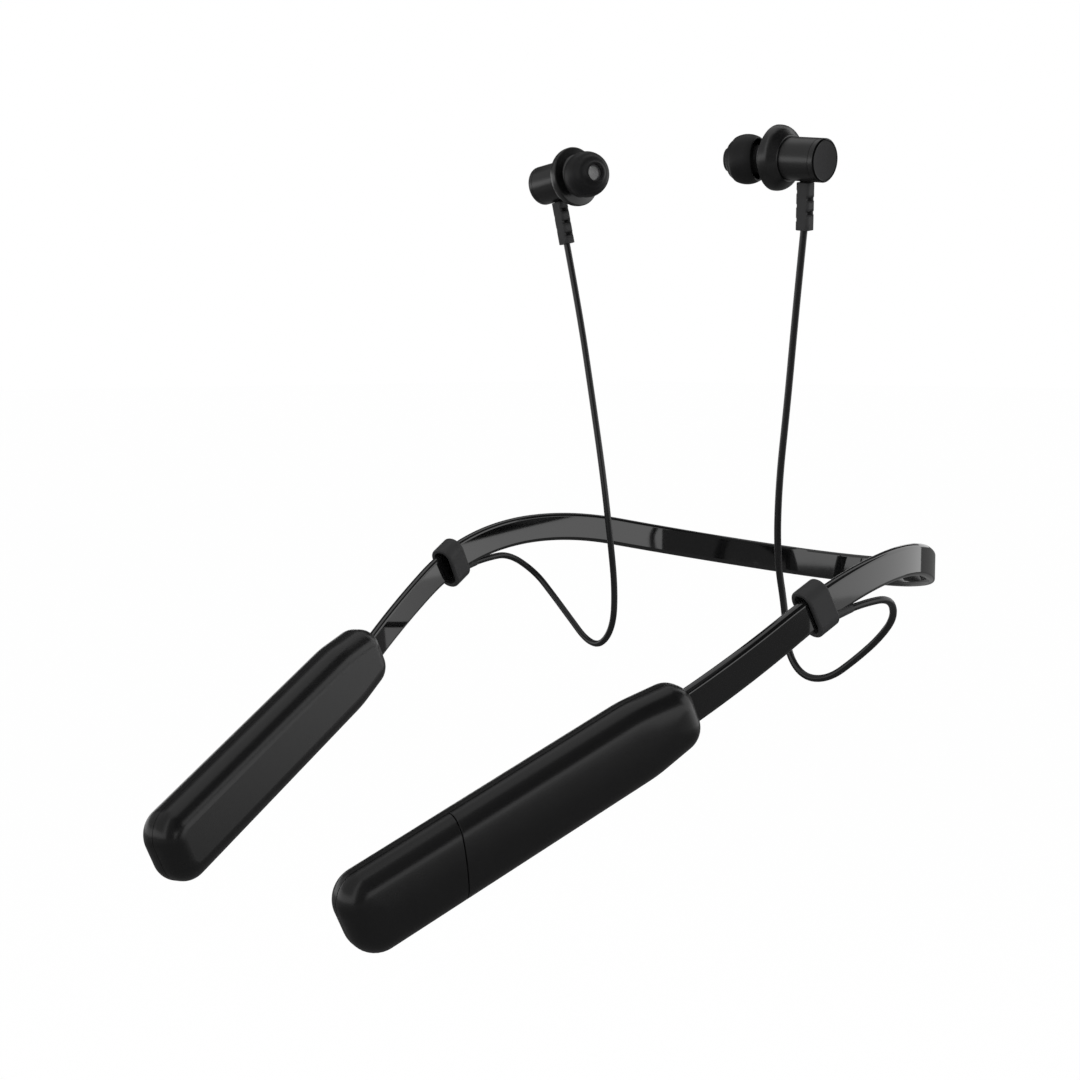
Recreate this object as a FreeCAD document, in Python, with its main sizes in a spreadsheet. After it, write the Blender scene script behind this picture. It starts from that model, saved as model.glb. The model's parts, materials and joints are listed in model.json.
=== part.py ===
import FreeCAD, Part
import math
import os
import Sketcher
from FreeCAD import Placement, Rotation, Vector

# Neckband earphones, as worn: the strap rests round the neck, the two pods
# hang in front and the buds stand at the ears on their cords.
# Frame: +X is the wearer's left, -Y is forward, +Z is up. The origin is on
# the strap's inner face, half way up, at the middle of the back.
# Lengths are millimetres and angles are degrees.

SIZES = {
    # strap: its plan is a back arc, two side arcs and two arm arcs
    "strap_height": 7.8, "strap_thickness": 2.4, "strap_edge": 1.0,
    "back_radius": 37.0, "back_half_angle": 36.0,
    "side_radius": 102.0, "side_angle": 66.5,
    "arm_radius": 161.0, "arm_angle": 12.0,
    # strap from the side: a falling neck run, an arch and a falling arm
    "neck_run": 44.9, "neck_fall": 12.6, "arch_radius": 89.0, "arm_fall": 30.6,
    # what runs inside the strap
    "channel_thickness": 0.9, "channel_height": 5.4,
    "spring_thickness": 0.5, "spring_height": 3.2,
    "ribbon_thickness": 0.5, "ribbon_height": 1.5,
    # pod form, in a frame with x forward from its rear end and y outwards;
    # its place and turn are measured from the strap's end, which it holds
    "pod_length": 89.3, "pod_thickness": 11.4, "pod_height": 18.3,
    "pod_rear_height": 14.6, "pod_taper": 14.5,
    "pod_front_corner": 6.6, "pod_rear_corner": 5.6, "pod_shoulder": 34.0, "pod_edge": 4.8,
    "pod_wall": 1.3, "pod_seam": 59.8, "seam_gap": 0.12,
    "pod_x": -12.16, "pod_y": 0.34, "pod_z": 0.27,
    "pod_yaw": 8.06, "pod_pitch": -3.38, "pod_roll": -8.79,
    "lip_inset": 0.7, "lip_height": 1.0, "fit_gap": 0.1,
    "anchor_start": 2.4, "anchor_length": 6.6, "parting_gap": 0.12, "seam_lean": 15.3,
    # right pod: board, switches and the pieces on it
    "board_start": 14.0, "board_end": 75.0, "board_height": 12.4,
    "board_thickness": 0.8,
    "boss_radius": 1.7, "boss_rear": 18.0, "boss_front": 56.0,
    "screw_radius": 0.6, "screw_head_radius": 1.2, "screw_head": 0.5, "screw_length": 2.0,
    "switch_side": 3.0, "switch_height": 0.7,
    "button_middle": 35.0, "button_pitch": 10.0, "button_travel": 0.25,
    "button_radius": 2.5, "main_button_radius": 3.2, "button_flange": 0.6,
    "button_flange_height": 0.6, "button_stand": 0.35, "button_gap": 0.15, "button_round": 0.3,
    "button_nub": 1.0, "button_rest": 0.05,
    "led_place": 50.0, "light_pipe_radius": 0.7,
    "chip_place": 45.0, "chip_side": 5.0, "chip_height": 0.9,
    "mic_place": 71.0, "mic_length": 2.7, "mic_width": 1.9, "mic_height": 0.9, "mic_hole": 0.5,
    "motor_place": 67.0, "motor_radius": 3.5, "motor_height": 2.1,
    # right pod: charging port on its lower edge, and the flap over it
    "port_place": 27.0, "port_length": 8.94, "port_thickness": 3.26, "port_depth": 7.3,
    "port_wall": 0.3, "tongue_thickness": 0.7, "tongue_width": 6.7, "tongue_set_back": 1.0,
    "flap_length": 13.0, "flap_width": 5.6, "flap_depth": 0.7, "flap_gap": 0.12, "hinge_gap": 0.05,
    # left pod: cell, its foam pads and its protection board
    "cell_start": 14.0, "cell_length": 44.0, "cell_thickness": 6.4, "cell_height": 12.0,
    "pad_length": 30.0, "pad_height": 7.6,
    "guard_length": 12.0, "guard_height": 11.0, "guard_thickness": 0.8,
    # keeper rings that slide on the arms
    "keeper_length": 6.2, "keeper_height": 12.2, "keeper_thickness": 6.8, "keeper_wall": 1.15,
    "keeper_shift": 0.65, "keeper_angle": 96.1, "keeper_edge": 0.3, "keeper_flat": 0.1,
    "keeper_travel": 14.0,
    # cord outlets and cords
    "cord_diameter": 1.75, "cord_lead": 4.58, "outlet_length": 6.5, "outlet_radius": 1.35,
    "outlet_gap": 0.3, "outlet_angle": 90.83, "outlet_out": 0.696, "outlet_drop": 4.576,
    "outlet_yaw": -2.91, "outlet_pitch": -7.48,
    # buds, in a frame with x outwards along the bud and z up along its strain relief
    "bud_x": 33.7, "bud_y": -79.6, "bud_z": 107.85,
    "bud_yaw": 3.0, "bud_pitch": -6.6, "bud_roll": 8.3,
    "rim_radius": 7.75, "rim_bevel": 0.2, "rim_band": 1.9, "rim_round": 3.0,
    "bell_length": 4.2, "bell_end_radius": 6.1, "bell_end_round": 1.5, "bell_front": 2.0,
    "bell_nose": 4.9, "bell_wall": 0.8, "crease_radius": 6.7, "crease_depth": 0.6,
    "chamber_radius": 4.2,
    "barrel_radius": 5.12, "barrel_wall": 0.5, "barrel_end": 12.6, "bud_length": 14.2,
    "cap_chamfer": 0.45, "cap_spigot": 1.3, "barrel_spigot": 0.8,
    "driver_radius": 4.5, "driver_wall": 0.5, "driver_length": 3.2,
    "magnet_radius": 3.2, "magnet_length": 1.6, "diaphragm_thickness": 0.2, "vent_radius": 1.2,
    # nozzle and ear tip, turned forward and down about a point on the bud's axis
    "nozzle_pivot": 3.0, "nozzle_yaw": 15.5, "nozzle_dip": 2.8,
    "nozzle_radius": 2.6, "nozzle_wall": 0.8, "nozzle_front": 10.6, "collar_radius": 3.3,
    "mesh_thickness": 0.2, "mesh_set_back": 0.4,
    "tip_radius": 5.93, "tip_centre": 6.9, "tip_back": 3.3, "tip_skirt": 0.6, "tip_nose": 1.7,
    "tip_stem": 3.35, "tip_stem_end": 3.5, "tip_mouth": 2.2, "tip_clearance": 0.05,
    "relief_place": 8.6, "relief_reach": 16.54, "relief_width": 3.7, "relief_depth": 3.1,
    "relief_round": 0.8, "relief_neck": 1.2, "relief_neck_depth": 0.5,
    "slot_height": 0.8, "slot_pitch": 1.5, "slot_depth": 1.25, "slot_start": 1.6,
}
SLOTS = 6

# How near a middle point must be to count as on a line or face.
NEAR = 0.01

# Route of the left cord, from the strain relief to where it lines up with its outlet.
CORD_POINTS = [
    (40.4, -77.1, 91.8), (36.8, -75.4, 72.0), (33.5, -74.0, 50.0), (30.2, -73.0, 29.0),
    (28.8, -71.5, 11.0), (29.5, -69.0, -2.0), (30.2, -68.8, -12.5), (35.0, -68.5, -18.5),
    (42.0, -67.2, -18.2), (49.5, -66.5, -12.5), (56.5, -66.5, -6.5), (62.0, -68.0, -0.5),
    (65.5, -75.0, 5.0),
]
CORD_ARC_SHARE = 0.45

doc = FreeCAD.newDocument("neckband_earphones")
sheet = doc.addObject("Spreadsheet::Sheet", "sizes")
for row, (alias, number) in enumerate(SIZES.items(), start=1):
    sheet.set("A%d" % row, alias)
    sheet.set("B%d" % row, str(number))
    sheet.setAlias("B%d" % row, alias)
doc.recompute()


class Dim:
    """A length or angle together with the sheet expression that it comes from."""

    def __init__(self, value, text):
        self.value = float(value)
        self.text = text

    def __float__(self):
        return self.value

    def __add__(self, other):
        other = dim(other)
        return Dim(self.value + other.value, "(%s + %s)" % (self.text, other.text))

    def __sub__(self, other):
        other = dim(other)
        return Dim(self.value - other.value, "(%s - %s)" % (self.text, other.text))

    def __mul__(self, other):
        other = dim(other)
        return Dim(self.value * other.value, "(%s * %s)" % (self.text, other.text))

    def __truediv__(self, other):
        other = dim(other)
        return Dim(self.value / other.value, "(%s / %s)" % (self.text, other.text))

    def __neg__(self):
        return Dim(-self.value, "(0 - %s)" % self.text)

    __radd__ = __add__
    __rmul__ = __mul__

    def __rsub__(self, other):
        return dim(other) - self


def dim(number):
    """Any number as a Dim."""
    return number if isinstance(number, Dim) else Dim(number, repr(float(number)))


class Sizes:
    """The sheet's cells, read by alias."""

    def __getattr__(self, alias):
        return Dim(getattr(sheet, alias), "sizes." + alias)


S = Sizes()
PIECES = []


def bind(thing, prop, value):
    """Set a property, and tie it to the sheet."""
    thing.setExpression(prop, dim(value).text)


def place(origin, forward, up):
    """Placement whose x axis is forward and whose z axis is as near to up as it can be."""
    along = Vector(forward).normalize()
    side = Vector(up).cross(along).normalize()
    return Placement(Vector(origin), Rotation(along, side, along.cross(side), "XYZ"))


HERE = Placement()


def piece(thing, node, frame=None):
    """Give a finished object its name and place, and list it for export."""
    thing.Label = node
    if frame is not None:
        thing.Placement = frame
    PIECES.append(thing)
    return thing


def box(name, low, high, frame=HERE):
    """Box between two corners of a frame."""
    thing = doc.addObject("Part::Box", name)
    for prop, a, b in zip(("Length", "Width", "Height"), low, high):
        bind(thing, prop, dim(b) - dim(a))
    thing.Placement = frame.multiply(Placement(Vector(*[float(v) for v in low]), Rotation()))
    return thing


def cylinder(name, radius, start, end, axis, frame=HERE):
    """Cylinder along x, y or z of a frame; start is a point, and end is a coordinate on the axis."""
    index = "xyz".index(axis)
    thing = doc.addObject("Part::Cylinder", name)
    bind(thing, "Radius", radius)
    bind(thing, "Height", dim(end) - dim(start[index]))
    aim = Rotation(Vector(0, 0, 1), Vector(*[1.0 if i == index else 0.0 for i in range(3)]))
    thing.Placement = frame.multiply(Placement(Vector(*[float(v) for v in start]), aim))
    return thing


def sphere(name, radius, x):
    """Ball on the x axis, with its poles on that axis."""
    thing = doc.addObject("Part::Sphere", name)
    bind(thing, "Radius", radius)
    thing.Placement = Placement(Vector(float(x), 0, 0), Rotation(Vector(0, 0, 1), Vector(1, 0, 0)))
    return thing


def cut(name, base, tool):
    thing = doc.addObject("Part::Cut", name)
    thing.Base, thing.Tool = base, tool
    return thing


def common(name, base, tool):
    thing = doc.addObject("Part::Common", name)
    thing.Base, thing.Tool = base, tool
    return thing


def fuse(name, shapes):
    thing = doc.addObject("Part::MultiFuse", name)
    thing.Shapes = shapes
    return thing


def group(name, shapes):
    thing = doc.addObject("Part::Compound", name)
    thing.Links = shapes
    return thing


def solid(name, shape):
    """Piece whose shape no feature makes, such as a swept cord."""
    thing = doc.addObject("Part::Feature", name)
    thing.Shape = shape
    return thing


def profile(body, plane, points):
    """Closed outline through points, each held to the origin by two bound distances."""
    sketch = body.newObject("Sketcher::SketchObject", body.Name + "_profile")
    datum = [f for f in body.Origin.OriginFeatures if f.Role == plane][0]
    sketch.AttachmentSupport = [(datum, "")]
    sketch.MapMode = "FlatFace"
    corners = [Vector(float(a), float(b), 0) for a, b in points]
    count = len(corners)
    for i in range(count):
        sketch.addGeometry(Part.LineSegment(corners[i], corners[(i + 1) % count]), False)
    for i in range(count):
        sketch.addConstraint(Sketcher.Constraint("Coincident", i, 2, (i + 1) % count, 1))
        for kind, axis, value in (("DistanceX", -2, points[i][0]), ("DistanceY", -1, points[i][1])):
            if float(value) == 0.0:
                sketch.addConstraint(Sketcher.Constraint("PointOnObject", i, 1, axis))
            else:
                rule = Sketcher.Constraint(kind, -1, 1, i, 1, float(value))
                bind(sketch, "Constraints[%d]" % sketch.addConstraint(rule), value)
    return sketch


def edges_where(feature, wanted):
    """Names of a feature's edges whose middle point and direction meet a test."""
    names = []
    for i, edge in enumerate(feature.Shape.Edges, start=1):
        middle = edge.valueAt((edge.FirstParameter + edge.LastParameter) / 2)
        if wanted(edge, middle):
            names.append("Edge%d" % i)
    return names


def rounded(body, feature, wanted, radius, kind="PartDesign::Fillet"):
    """Fillet or chamfer the chosen edges of a body's feature."""
    doc.recompute()
    names = edges_where(feature, wanted)
    thing = body.newObject(kind, body.Name + "_edge")
    thing.Base = (feature, names)
    bind(thing, "Radius" if kind.endswith("Fillet") else "Size", radius)
    return thing


def padded(name, plane, points, length, midplane=True):
    """Body with one outline pushed out along its plane's normal."""
    body = doc.addObject("PartDesign::Body", name)
    sketch = profile(body, plane, points)
    pad = body.newObject("PartDesign::Pad", name + "_pad")
    pad.Profile = sketch
    pad.Midplane = midplane
    bind(pad, "Length", length)
    sketch.Visibility = False
    return body, pad


def turned(name, points, rounds=(), chamfers=()):
    """Body turned about x. Points are (x, radius); rounds are (x, radius, size of the round)."""
    body = doc.addObject("PartDesign::Body", name)
    sketch = profile(body, "XY_Plane", points)
    feature = body.newObject("PartDesign::Revolution", name + "_turn")
    feature.Profile = sketch
    feature.ReferenceAxis = (sketch, ["H_Axis"])
    feature.Angle = 360.0
    sketch.Visibility = False
    for kind, marks in (("PartDesign::Fillet", rounds), ("PartDesign::Chamfer", chamfers)):
        for x, radius, amount in marks:
            def on_ring(edge, middle, x=float(x), radius=float(radius)):
                out = math.hypot(middle.y, middle.z)
                return abs(middle.x - x) < NEAR and abs(out - radius) < NEAR
            feature = rounded(body, feature, on_ring, amount, kind)
    return body


# ---------------------------------------------------------------- strap

def plan_arcs():
    """Centre, radius and end angles, from straight back, of the left half's three arcs."""
    arcs = []
    centre = Vector(0, float(S.strap_thickness / 2 - S.back_radius), 0)
    start = 0.0
    radii = [float(S.back_radius), float(S.side_radius), float(S.arm_radius)]
    angles = [S.back_half_angle, S.side_angle, S.arm_angle]
    for i, radius in enumerate(radii):
        end = start + math.radians(float(angles[i]))
        arcs.append((centre, radius, start, end))
        if i < 2:
            centre = centre + Vector(math.sin(end), math.cos(end), 0) * (radius - radii[i + 1])
        start = end
    return arcs


PLAN = plan_arcs()


def plan_point(arc, angle, offset, side):
    """Point of the plan, offset outwards, on the left (side 1) or right (side -1)."""
    centre, radius = arc[0], arc[1]
    reach = radius + offset
    return Vector(side * (centre.x + reach * math.sin(angle)), centre.y + reach * math.cos(angle), 0)


def plan_edges(offset):
    """The five arcs of the plan at one offset, from the right arm's end to the left's."""
    back, flank, arm = PLAN
    spans = [(arm, arm[3], arm[2], -1), (flank, flank[3], flank[2], -1), (back, back[3], -back[3], -1),
             (flank, flank[2], flank[3], 1), (arm, arm[2], arm[3], 1)]
    edges = []
    for arc, first, last, side in spans:
        points = [plan_point(arc, a, offset, side) for a in (first, (first + last) / 2, last)]
        edges.append(Part.Arc(*points).toShape())
    return edges


def side_edges(offset):
    """The strap's side outline at one offset from its middle: neck run, arch and arm."""
    fall, drop = math.radians(float(S.neck_fall)), math.radians(float(S.arm_fall))
    back = Vector(0, float(S.strap_thickness / 2), 0)
    up = Vector(0, math.sin(fall), math.cos(fall))
    run = Vector(0, -math.cos(fall), math.sin(fall))
    bend = back + run * (float(S.neck_run) / math.cos(fall))
    centre = bend - up * float(S.arch_radius)
    reach = float(S.arch_radius) + offset

    def on_arch(angle):
        return centre + Vector(0, math.sin(angle), math.cos(angle)) * reach

    beyond = 2 * float(S.strap_height)
    front_run = Vector(0, -math.cos(drop), -math.sin(drop))
    start = back + up * offset - run * beyond
    end = on_arch(-drop) + front_run * (float(S.arm_radius))
    return [Part.LineSegment(start, on_arch(fall)).toShape(),
            Part.Arc(on_arch(fall), on_arch((fall - drop) / 2), on_arch(-drop)).toShape(),
            Part.LineSegment(on_arch(-drop), end).toShape()]


def side_height(y):
    """Height of the strap's middle line at a place along y."""
    reach = float(S.arm_radius)
    for edge in side_edges(0.0):
        low, high = sorted((edge.firstVertex().Point.y, edge.lastVertex().Point.y))
        if low <= y <= high:
            cross = edge.distToShape(Part.makeLine((0, y, -reach), (0, y, reach)))
            return cross[1][0][0].z
    raise ValueError("no strap at y %.1f" % y)


def loop_face(first, second):
    """Face between two chains of edges that run the same way."""
    def ends(chain):
        return chain[0].valueAt(chain[0].FirstParameter), chain[-1].valueAt(chain[-1].LastParameter)
    (a, b), (c, d) = ends(first), ends(second)
    edges = first + [Part.makeLine(b, d)] + second + [Part.makeLine(c, a)]
    return Part.Face(Part.Wire(Part.__sortEdges__(edges)))


def strip(inner, outer, low, high):
    """Bar that follows the strap, between two offsets across it and two up it."""
    tall = float(S.arm_radius)
    plan = loop_face(plan_edges(inner), plan_edges(outer)).extrude(Vector(0, 0, 2 * tall))
    plan.translate(Vector(0, 0, -tall))
    side = loop_face(side_edges(low), side_edges(high)).extrude(Vector(2 * tall, 0, 0))
    side.translate(Vector(-tall, 0, 0))
    return plan.common(side).Solids[0]


def strap_form(grow=0.0):
    """The strap's plain section, grown all round by a clearance."""
    half, rise = float(S.strap_thickness) / 2 + grow, float(S.strap_height) / 2 + grow
    return strip(-half, half, -rise, rise)


def plan_offset(point):
    """How far a point stands outside the strap's middle surface."""
    flat = Vector(abs(point.x), point.y, 0)
    for centre, radius, start, end in PLAN:
        out = flat - centre
        angle = math.atan2(out.x, out.y)
        if start - 1e-6 <= angle <= end + 1e-6:
            return out.Length - radius
    return 0.0


def strap_outline():
    """Strap with rounded long edges, without the channel through it."""
    plain = strap_form()
    half = float(S.strap_thickness) / 2
    ends = [plan_point(PLAN[2], PLAN[2][3], 0.0, side) for side in (1, -1)]
    long_edges = []
    for edge in plain.Edges:
        middle = edge.valueAt((edge.FirstParameter + edge.LastParameter) / 2)
        near_end = min(Vector(middle.x - e.x, middle.y - e.y, 0).Length for e in ends) < 2 * half
        upright = abs(edge.tangentAt(edge.FirstParameter).z) > 0.9
        if abs(abs(plan_offset(middle)) - half) < NEAR and not near_end and not upright:
            long_edges.append(edge)
    return plain.makeFillet(float(S.strap_edge), long_edges)


rise, wide = float(S.channel_height) / 2, float(S.channel_thickness) / 2
strap = solid("strap_outline", strap_outline())
channel = solid("strap_channel", strip(-wide, wide, -rise, rise))
piece(cut("strap_bar", strap, channel), "neck_strap")
spring_half, ribbon_half = float(S.spring_thickness) / 2, float(S.ribbon_thickness) / 2
spring_low = -float(S.channel_height) / 2
spring_high = spring_low + float(S.spring_height)
piece(solid("spring_bar", strip(-spring_half, spring_half, spring_low, spring_high)), "strap_spring")
ribbon_high = float(S.channel_height) / 2
ribbon_low = ribbon_high - float(S.ribbon_height)
piece(solid("ribbon_bar", strip(-ribbon_half, ribbon_half, ribbon_low, ribbon_high)), "strap_ribbon_wire")
slot_form = solid("strap_slot", strap_form(float(S.fit_gap)))


def strap_frame(angle, side):
    """Frame on the arm's middle line: x forward, y outwards, z square to both."""
    spot = math.radians(float(angle))
    arc = [a for a in PLAN if a[2] <= spot <= a[3] + 1e-9][0]
    step = 0.002
    here, ahead = [plan_point(arc, a, 0.0, 1) for a in (spot, spot + step)]
    here.z, ahead.z = side_height(here.y), side_height(ahead.y)
    return mirrored(here, ahead - here, Vector(0, 0, 1), side)


def mirrored(origin, forward, up, side):
    """Frame on the left, or its mirror image on the right with z turned over.

    Each shape placed by it is the same above and below its own middle plane."""
    if side > 0:
        return place(origin, forward, up)
    flip = lambda v: Vector(-v.x, v.y, v.z)
    return place(flip(origin), flip(forward), flip(up) * -1)


def seated(angle, offset, turn, side):
    """Frame that stands off the arm's own frame by an offset, and is turned against it."""
    seat = Placement(Vector(*[float(v) for v in offset]), Rotation(*[float(a) for a in turn]))
    frame = strap_frame(angle, 1).multiply(seat)
    forward, up = [frame.Rotation.multVec(v) for v in (Vector(1, 0, 0), Vector(0, 0, 1))]
    return mirrored(frame.Base, forward, up, side)


# ---------------------------------------------------------------- pods

def pod_frame(side):
    """Pod's frame, set back along the strap from its end and turned against it."""
    return seated(S.back_half_angle + S.side_angle + S.arm_angle, (S.pod_x, S.pod_y, S.pod_z),
                  (S.pod_yaw, S.pod_pitch, S.pod_roll), side)


def pod_form(name, inset):
    """The pod's rounded outline, drawn in by an inset."""
    inset = dim(inset)
    tall, low = S.pod_height / 2 - inset, S.pod_rear_height / 2 - inset
    front, wide = S.pod_length - inset, S.pod_thickness / 2 - inset
    outline = [(inset, low), (S.pod_taper, tall), (front, tall), (front, -tall), (S.pod_taper, -tall),
               (inset, -low)]
    body, feature = padded(name, "XZ_Plane", outline, wide * 2)
    for x, z, radius in ((inset, low, S.pod_rear_corner - inset), (front, tall, S.pod_front_corner - inset),
                         (S.pod_taper, tall, S.pod_shoulder - inset)):
        def across(edge, middle, x=float(x), z=float(z)):
            return max(abs(middle.x - x), abs(abs(middle.z) - z), abs(middle.y)) < NEAR
        feature = rounded(body, feature, across, radius)

    def on_face(edge, middle, wide=float(wide)):
        return abs(abs(middle.y) - wide) < NEAR
    rounded(body, feature, on_face, S.pod_edge - inset)
    return body


def slab(name, y_low, y_high, x_low=None, x_high=None):
    """Box that takes in a pod's whole length and height between two levels."""
    reach = S.pod_height
    first = -reach if x_low is None else x_low
    last = S.pod_length + reach if x_high is None else x_high
    return box(name, (first, y_low, -reach), (last, y_high, reach))


def half_space(name, side, ahead):
    """Box on one side of the leaning seam: ahead of it, or behind it."""
    reach = S.pod_height
    lean = Placement(Vector(float(S.pod_seam), 0, side * float(S.pod_height) / 2),
                     Rotation(Vector(0, 1, 0), -side * float(S.seam_lean)))
    if ahead:
        return box(name, (S.seam_gap / 2, S.parting_gap, -reach * 2),
                   (S.pod_length, S.pod_thickness, reach * 2), lean)
    return box(name, (-S.pod_length, S.parting_gap, -reach * 2),
               (-S.seam_gap / 2, S.pod_thickness, reach * 2), lean)


form = pod_form("pod_form", 0)
cavity = pod_form("pod_cavity", S.pod_wall)
lip_form = pod_form("pod_lip_form", S.lip_inset)
rebate_form = pod_form("pod_rebate_form", S.lip_inset - S.fit_gap)
shell = cut("pod_shell", form, cavity)
inner_half = common("pod_inner_half", shell, slab("inner_side", -S.pod_thickness, 0))
gate_half = S.strap_height / 2 + S.pod_wall
strap_gate = box("strap_gate", (-S.pod_wall, 0, -gate_half), (S.anchor_start, S.lip_height, gate_half))
lip_ring = cut("pod_lip_ring", lip_form, cavity)
lip = cut("pod_lip", common("pod_lip_band", lip_ring, slab("lip_span", 0, S.lip_height)), strap_gate)
inner_shell = fuse("pod_inner_shell", [inner_half, lip])
rebate_band = common("pod_rebate_band", rebate_form, slab("rebate_span", 0, S.lip_height))
outer_half = cut("pod_outer_half", shell, cut("pod_rebate", rebate_band, strap_gate))
anchor_block = common("pod_anchor_block", cavity,
                      slab("anchor_span", -S.pod_thickness, S.pod_thickness, S.anchor_start,
                           S.anchor_start + S.anchor_length))

POD = {"left": pod_frame(1), "right": pod_frame(-1)}
inner_wall = S.pod_thickness / 2 - S.pod_wall


def local_copy(name, thing, frame):
    """A piece or tool, carried into a frame's own coordinates."""
    shape = thing.Shape.copy()
    shape.Placement = frame.inverse().multiply(shape.Placement)
    return solid(name, shape)


# right pod's board level and the holes through its outer cover
board_level = S.port_thickness / 2
board_top = board_level + S.board_thickness
button_places = {"volume_up": S.button_middle - S.button_pitch, "multifunction": S.button_middle,
                 "volume_down": S.button_middle + S.button_pitch}
button_radii = {name: S.main_button_radius if name == "multifunction" else S.button_radius
                for name in button_places}
holes = [cylinder(name + "_hole", button_radii[name] + S.button_gap, (x, 0, 0), S.pod_thickness, "y")
         for name, x in button_places.items()]
holes.append(cylinder("light_hole", S.light_pipe_radius, (S.led_place, 0, 0), S.pod_thickness, "y"))
mic_hole = cylinder("mic_hole", S.mic_hole, (S.mic_place, 0, 0), S.pod_thickness, "y")
bosses, boss_bores = [], []
for place_name, x in (("rear", S.boss_rear), ("front", S.boss_front)):
    bosses.append(cylinder("boss_" + place_name, S.boss_radius, (x, board_top, 0),
                           inner_wall + S.pod_wall / 2, "y"))
    boss_bores.append(cylinder("boss_bore_" + place_name, S.screw_radius, (x, 0, 0), inner_wall, "y"))

# charging port: its hole, the flap and the flap's seat in the pod's lower edge
port_low, port_high = S.port_place - S.port_length / 2, S.port_place + S.port_length / 2
flap_low, flap_high = S.port_place - S.flap_length / 2, S.port_place + S.flap_length / 2
edge_level = S.pod_height / 2
port_hole = box("port_hole", (port_low - S.fit_gap, -S.port_thickness / 2 - S.fit_gap, 0),
                (port_high + S.fit_gap, S.port_thickness / 2 + S.fit_gap, S.pod_height))
flap_seat = box("flap_seat", (flap_low - S.hinge_gap, -S.flap_width / 2 - S.flap_gap,
                              edge_level - S.flap_depth),
                (flap_high + S.flap_gap, S.flap_width / 2 + S.flap_gap, S.pod_height))
flap_block = box("flap_block", (flap_low, -S.flap_width / 2, edge_level - S.flap_depth),
                 (flap_high, S.flap_width / 2, S.pod_height))

for side_name, frame in POD.items():
    side = 1 if side_name == "left" else -1
    tag = side_name + "_"
    slot = local_copy(tag + "strap_slot", slot_form, frame)
    held = local_copy(tag + "strap_end", strap, frame)
    rear_cover = common(tag + "rear_cover", outer_half, half_space(tag + "rear_span", side, False))
    front_cover = common(tag + "front_cover", outer_half, half_space(tag + "front_span", side, True))
    inner_tool = rear_tool = slot
    if side_name == "right":
        inner_tool = fuse("right_inner_tools", [slot, port_hole, flap_seat])
        rear_tool = fuse("right_rear_tools", [slot, port_hole, flap_seat] + holes + boss_bores)
        rear_cover = fuse("right_cover_with_bosses", [rear_cover] + bosses)
        front_cover = cut("right_front_drilled", front_cover, mic_hole)
    piece(cut(tag + "inner", inner_shell, inner_tool), tag + "pod_inner_shell", frame)
    piece(cut(tag + "rear", rear_cover, rear_tool), tag + "pod_outer_cover", frame)
    piece(front_cover, tag + "pod_end_cover", frame)
    piece(cut(tag + "anchor", anchor_block, held), tag + "strap_anchor", frame)

right = POD["right"]
board_half = S.board_height / 2
board_holes = [cylinder("board_hole_" + n, S.screw_radius + S.fit_gap, (x, 0, 0), S.pod_thickness, "y")
               for n, x in (("rear", S.boss_rear), ("front", S.boss_front))]
board_blank = box("board_blank", (S.board_start, board_level, -board_half),
                  (S.board_end, board_top, board_half))
piece(cut("board_drilled", board_blank, fuse("board_holes", board_holes)), "main_board", right)

screws = []
for place_name, x in (("rear", S.boss_rear), ("front", S.boss_front)):
    head = cylinder("screw_head_" + place_name, S.screw_head_radius,
                    (x, board_level - S.screw_head, 0), board_level, "y")
    shank = cylinder("screw_shank_" + place_name, S.screw_radius, (x, board_level, 0),
                     board_level + S.screw_length, "y")
    screws.append(fuse("screw_" + place_name, [head, shank]))
piece(group("screws", screws), "board_screws", right)

switch_half = S.switch_side / 2
piece(group("switches", [box(name + "_switch", (x - switch_half, board_top, -switch_half),
                             (x + switch_half, board_top + S.switch_height, switch_half))
                         for name, x in button_places.items()]), "tact_switches", right)

nub_foot = board_top + S.switch_height + S.button_travel + S.button_rest
flange_foot = inner_wall - S.button_flange_height
for name, x in button_places.items():
    radius = button_radii[name]
    wide = radius + S.button_flange
    top = S.pod_thickness / 2 + S.button_stand
    outline = [(nub_foot, 0), (top, 0), (top, radius), (inner_wall, radius), (inner_wall, wide),
               (flange_foot, wide), (flange_foot, S.button_nub), (nub_foot, S.button_nub)]
    cap = turned(name + "_cap", outline, rounds=[(top, radius, S.button_round)])
    seat = Placement(Vector(float(x), 0, 0), Rotation(Vector(1, 0, 0), Vector(0, 1, 0)))
    piece(cap, name + "_button", right.multiply(seat))
    print("frame", name, tuple(right.multVec(Vector(float(x), float(top), 0))))

led_half, led_height = S.light_pipe_radius, S.switch_height
piece(box("led", (S.led_place - led_half, board_top, -led_half),
          (S.led_place + led_half, board_top + led_height, led_half), right), "status_led")
piece(cylinder("pipe", S.light_pipe_radius, (S.led_place, board_top + led_height + S.fit_gap, 0),
               S.pod_thickness / 2, "y", right), "led_light_pipe")
chip_half = S.chip_side / 2
piece(box("chip", (S.chip_place - chip_half, board_level - S.chip_height, -chip_half),
          (S.chip_place + chip_half, board_level, chip_half), right), "radio_chip")
piece(box("mic", (S.mic_place - S.mic_length / 2, board_top, -S.mic_width / 2),
          (S.mic_place + S.mic_length / 2, board_top + S.mic_height, S.mic_width / 2), right), "microphone")
piece(cylinder("motor", S.motor_radius, (S.motor_place, -inner_wall, 0), -inner_wall + S.motor_height,
               "y", right), "vibration_motor")

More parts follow.
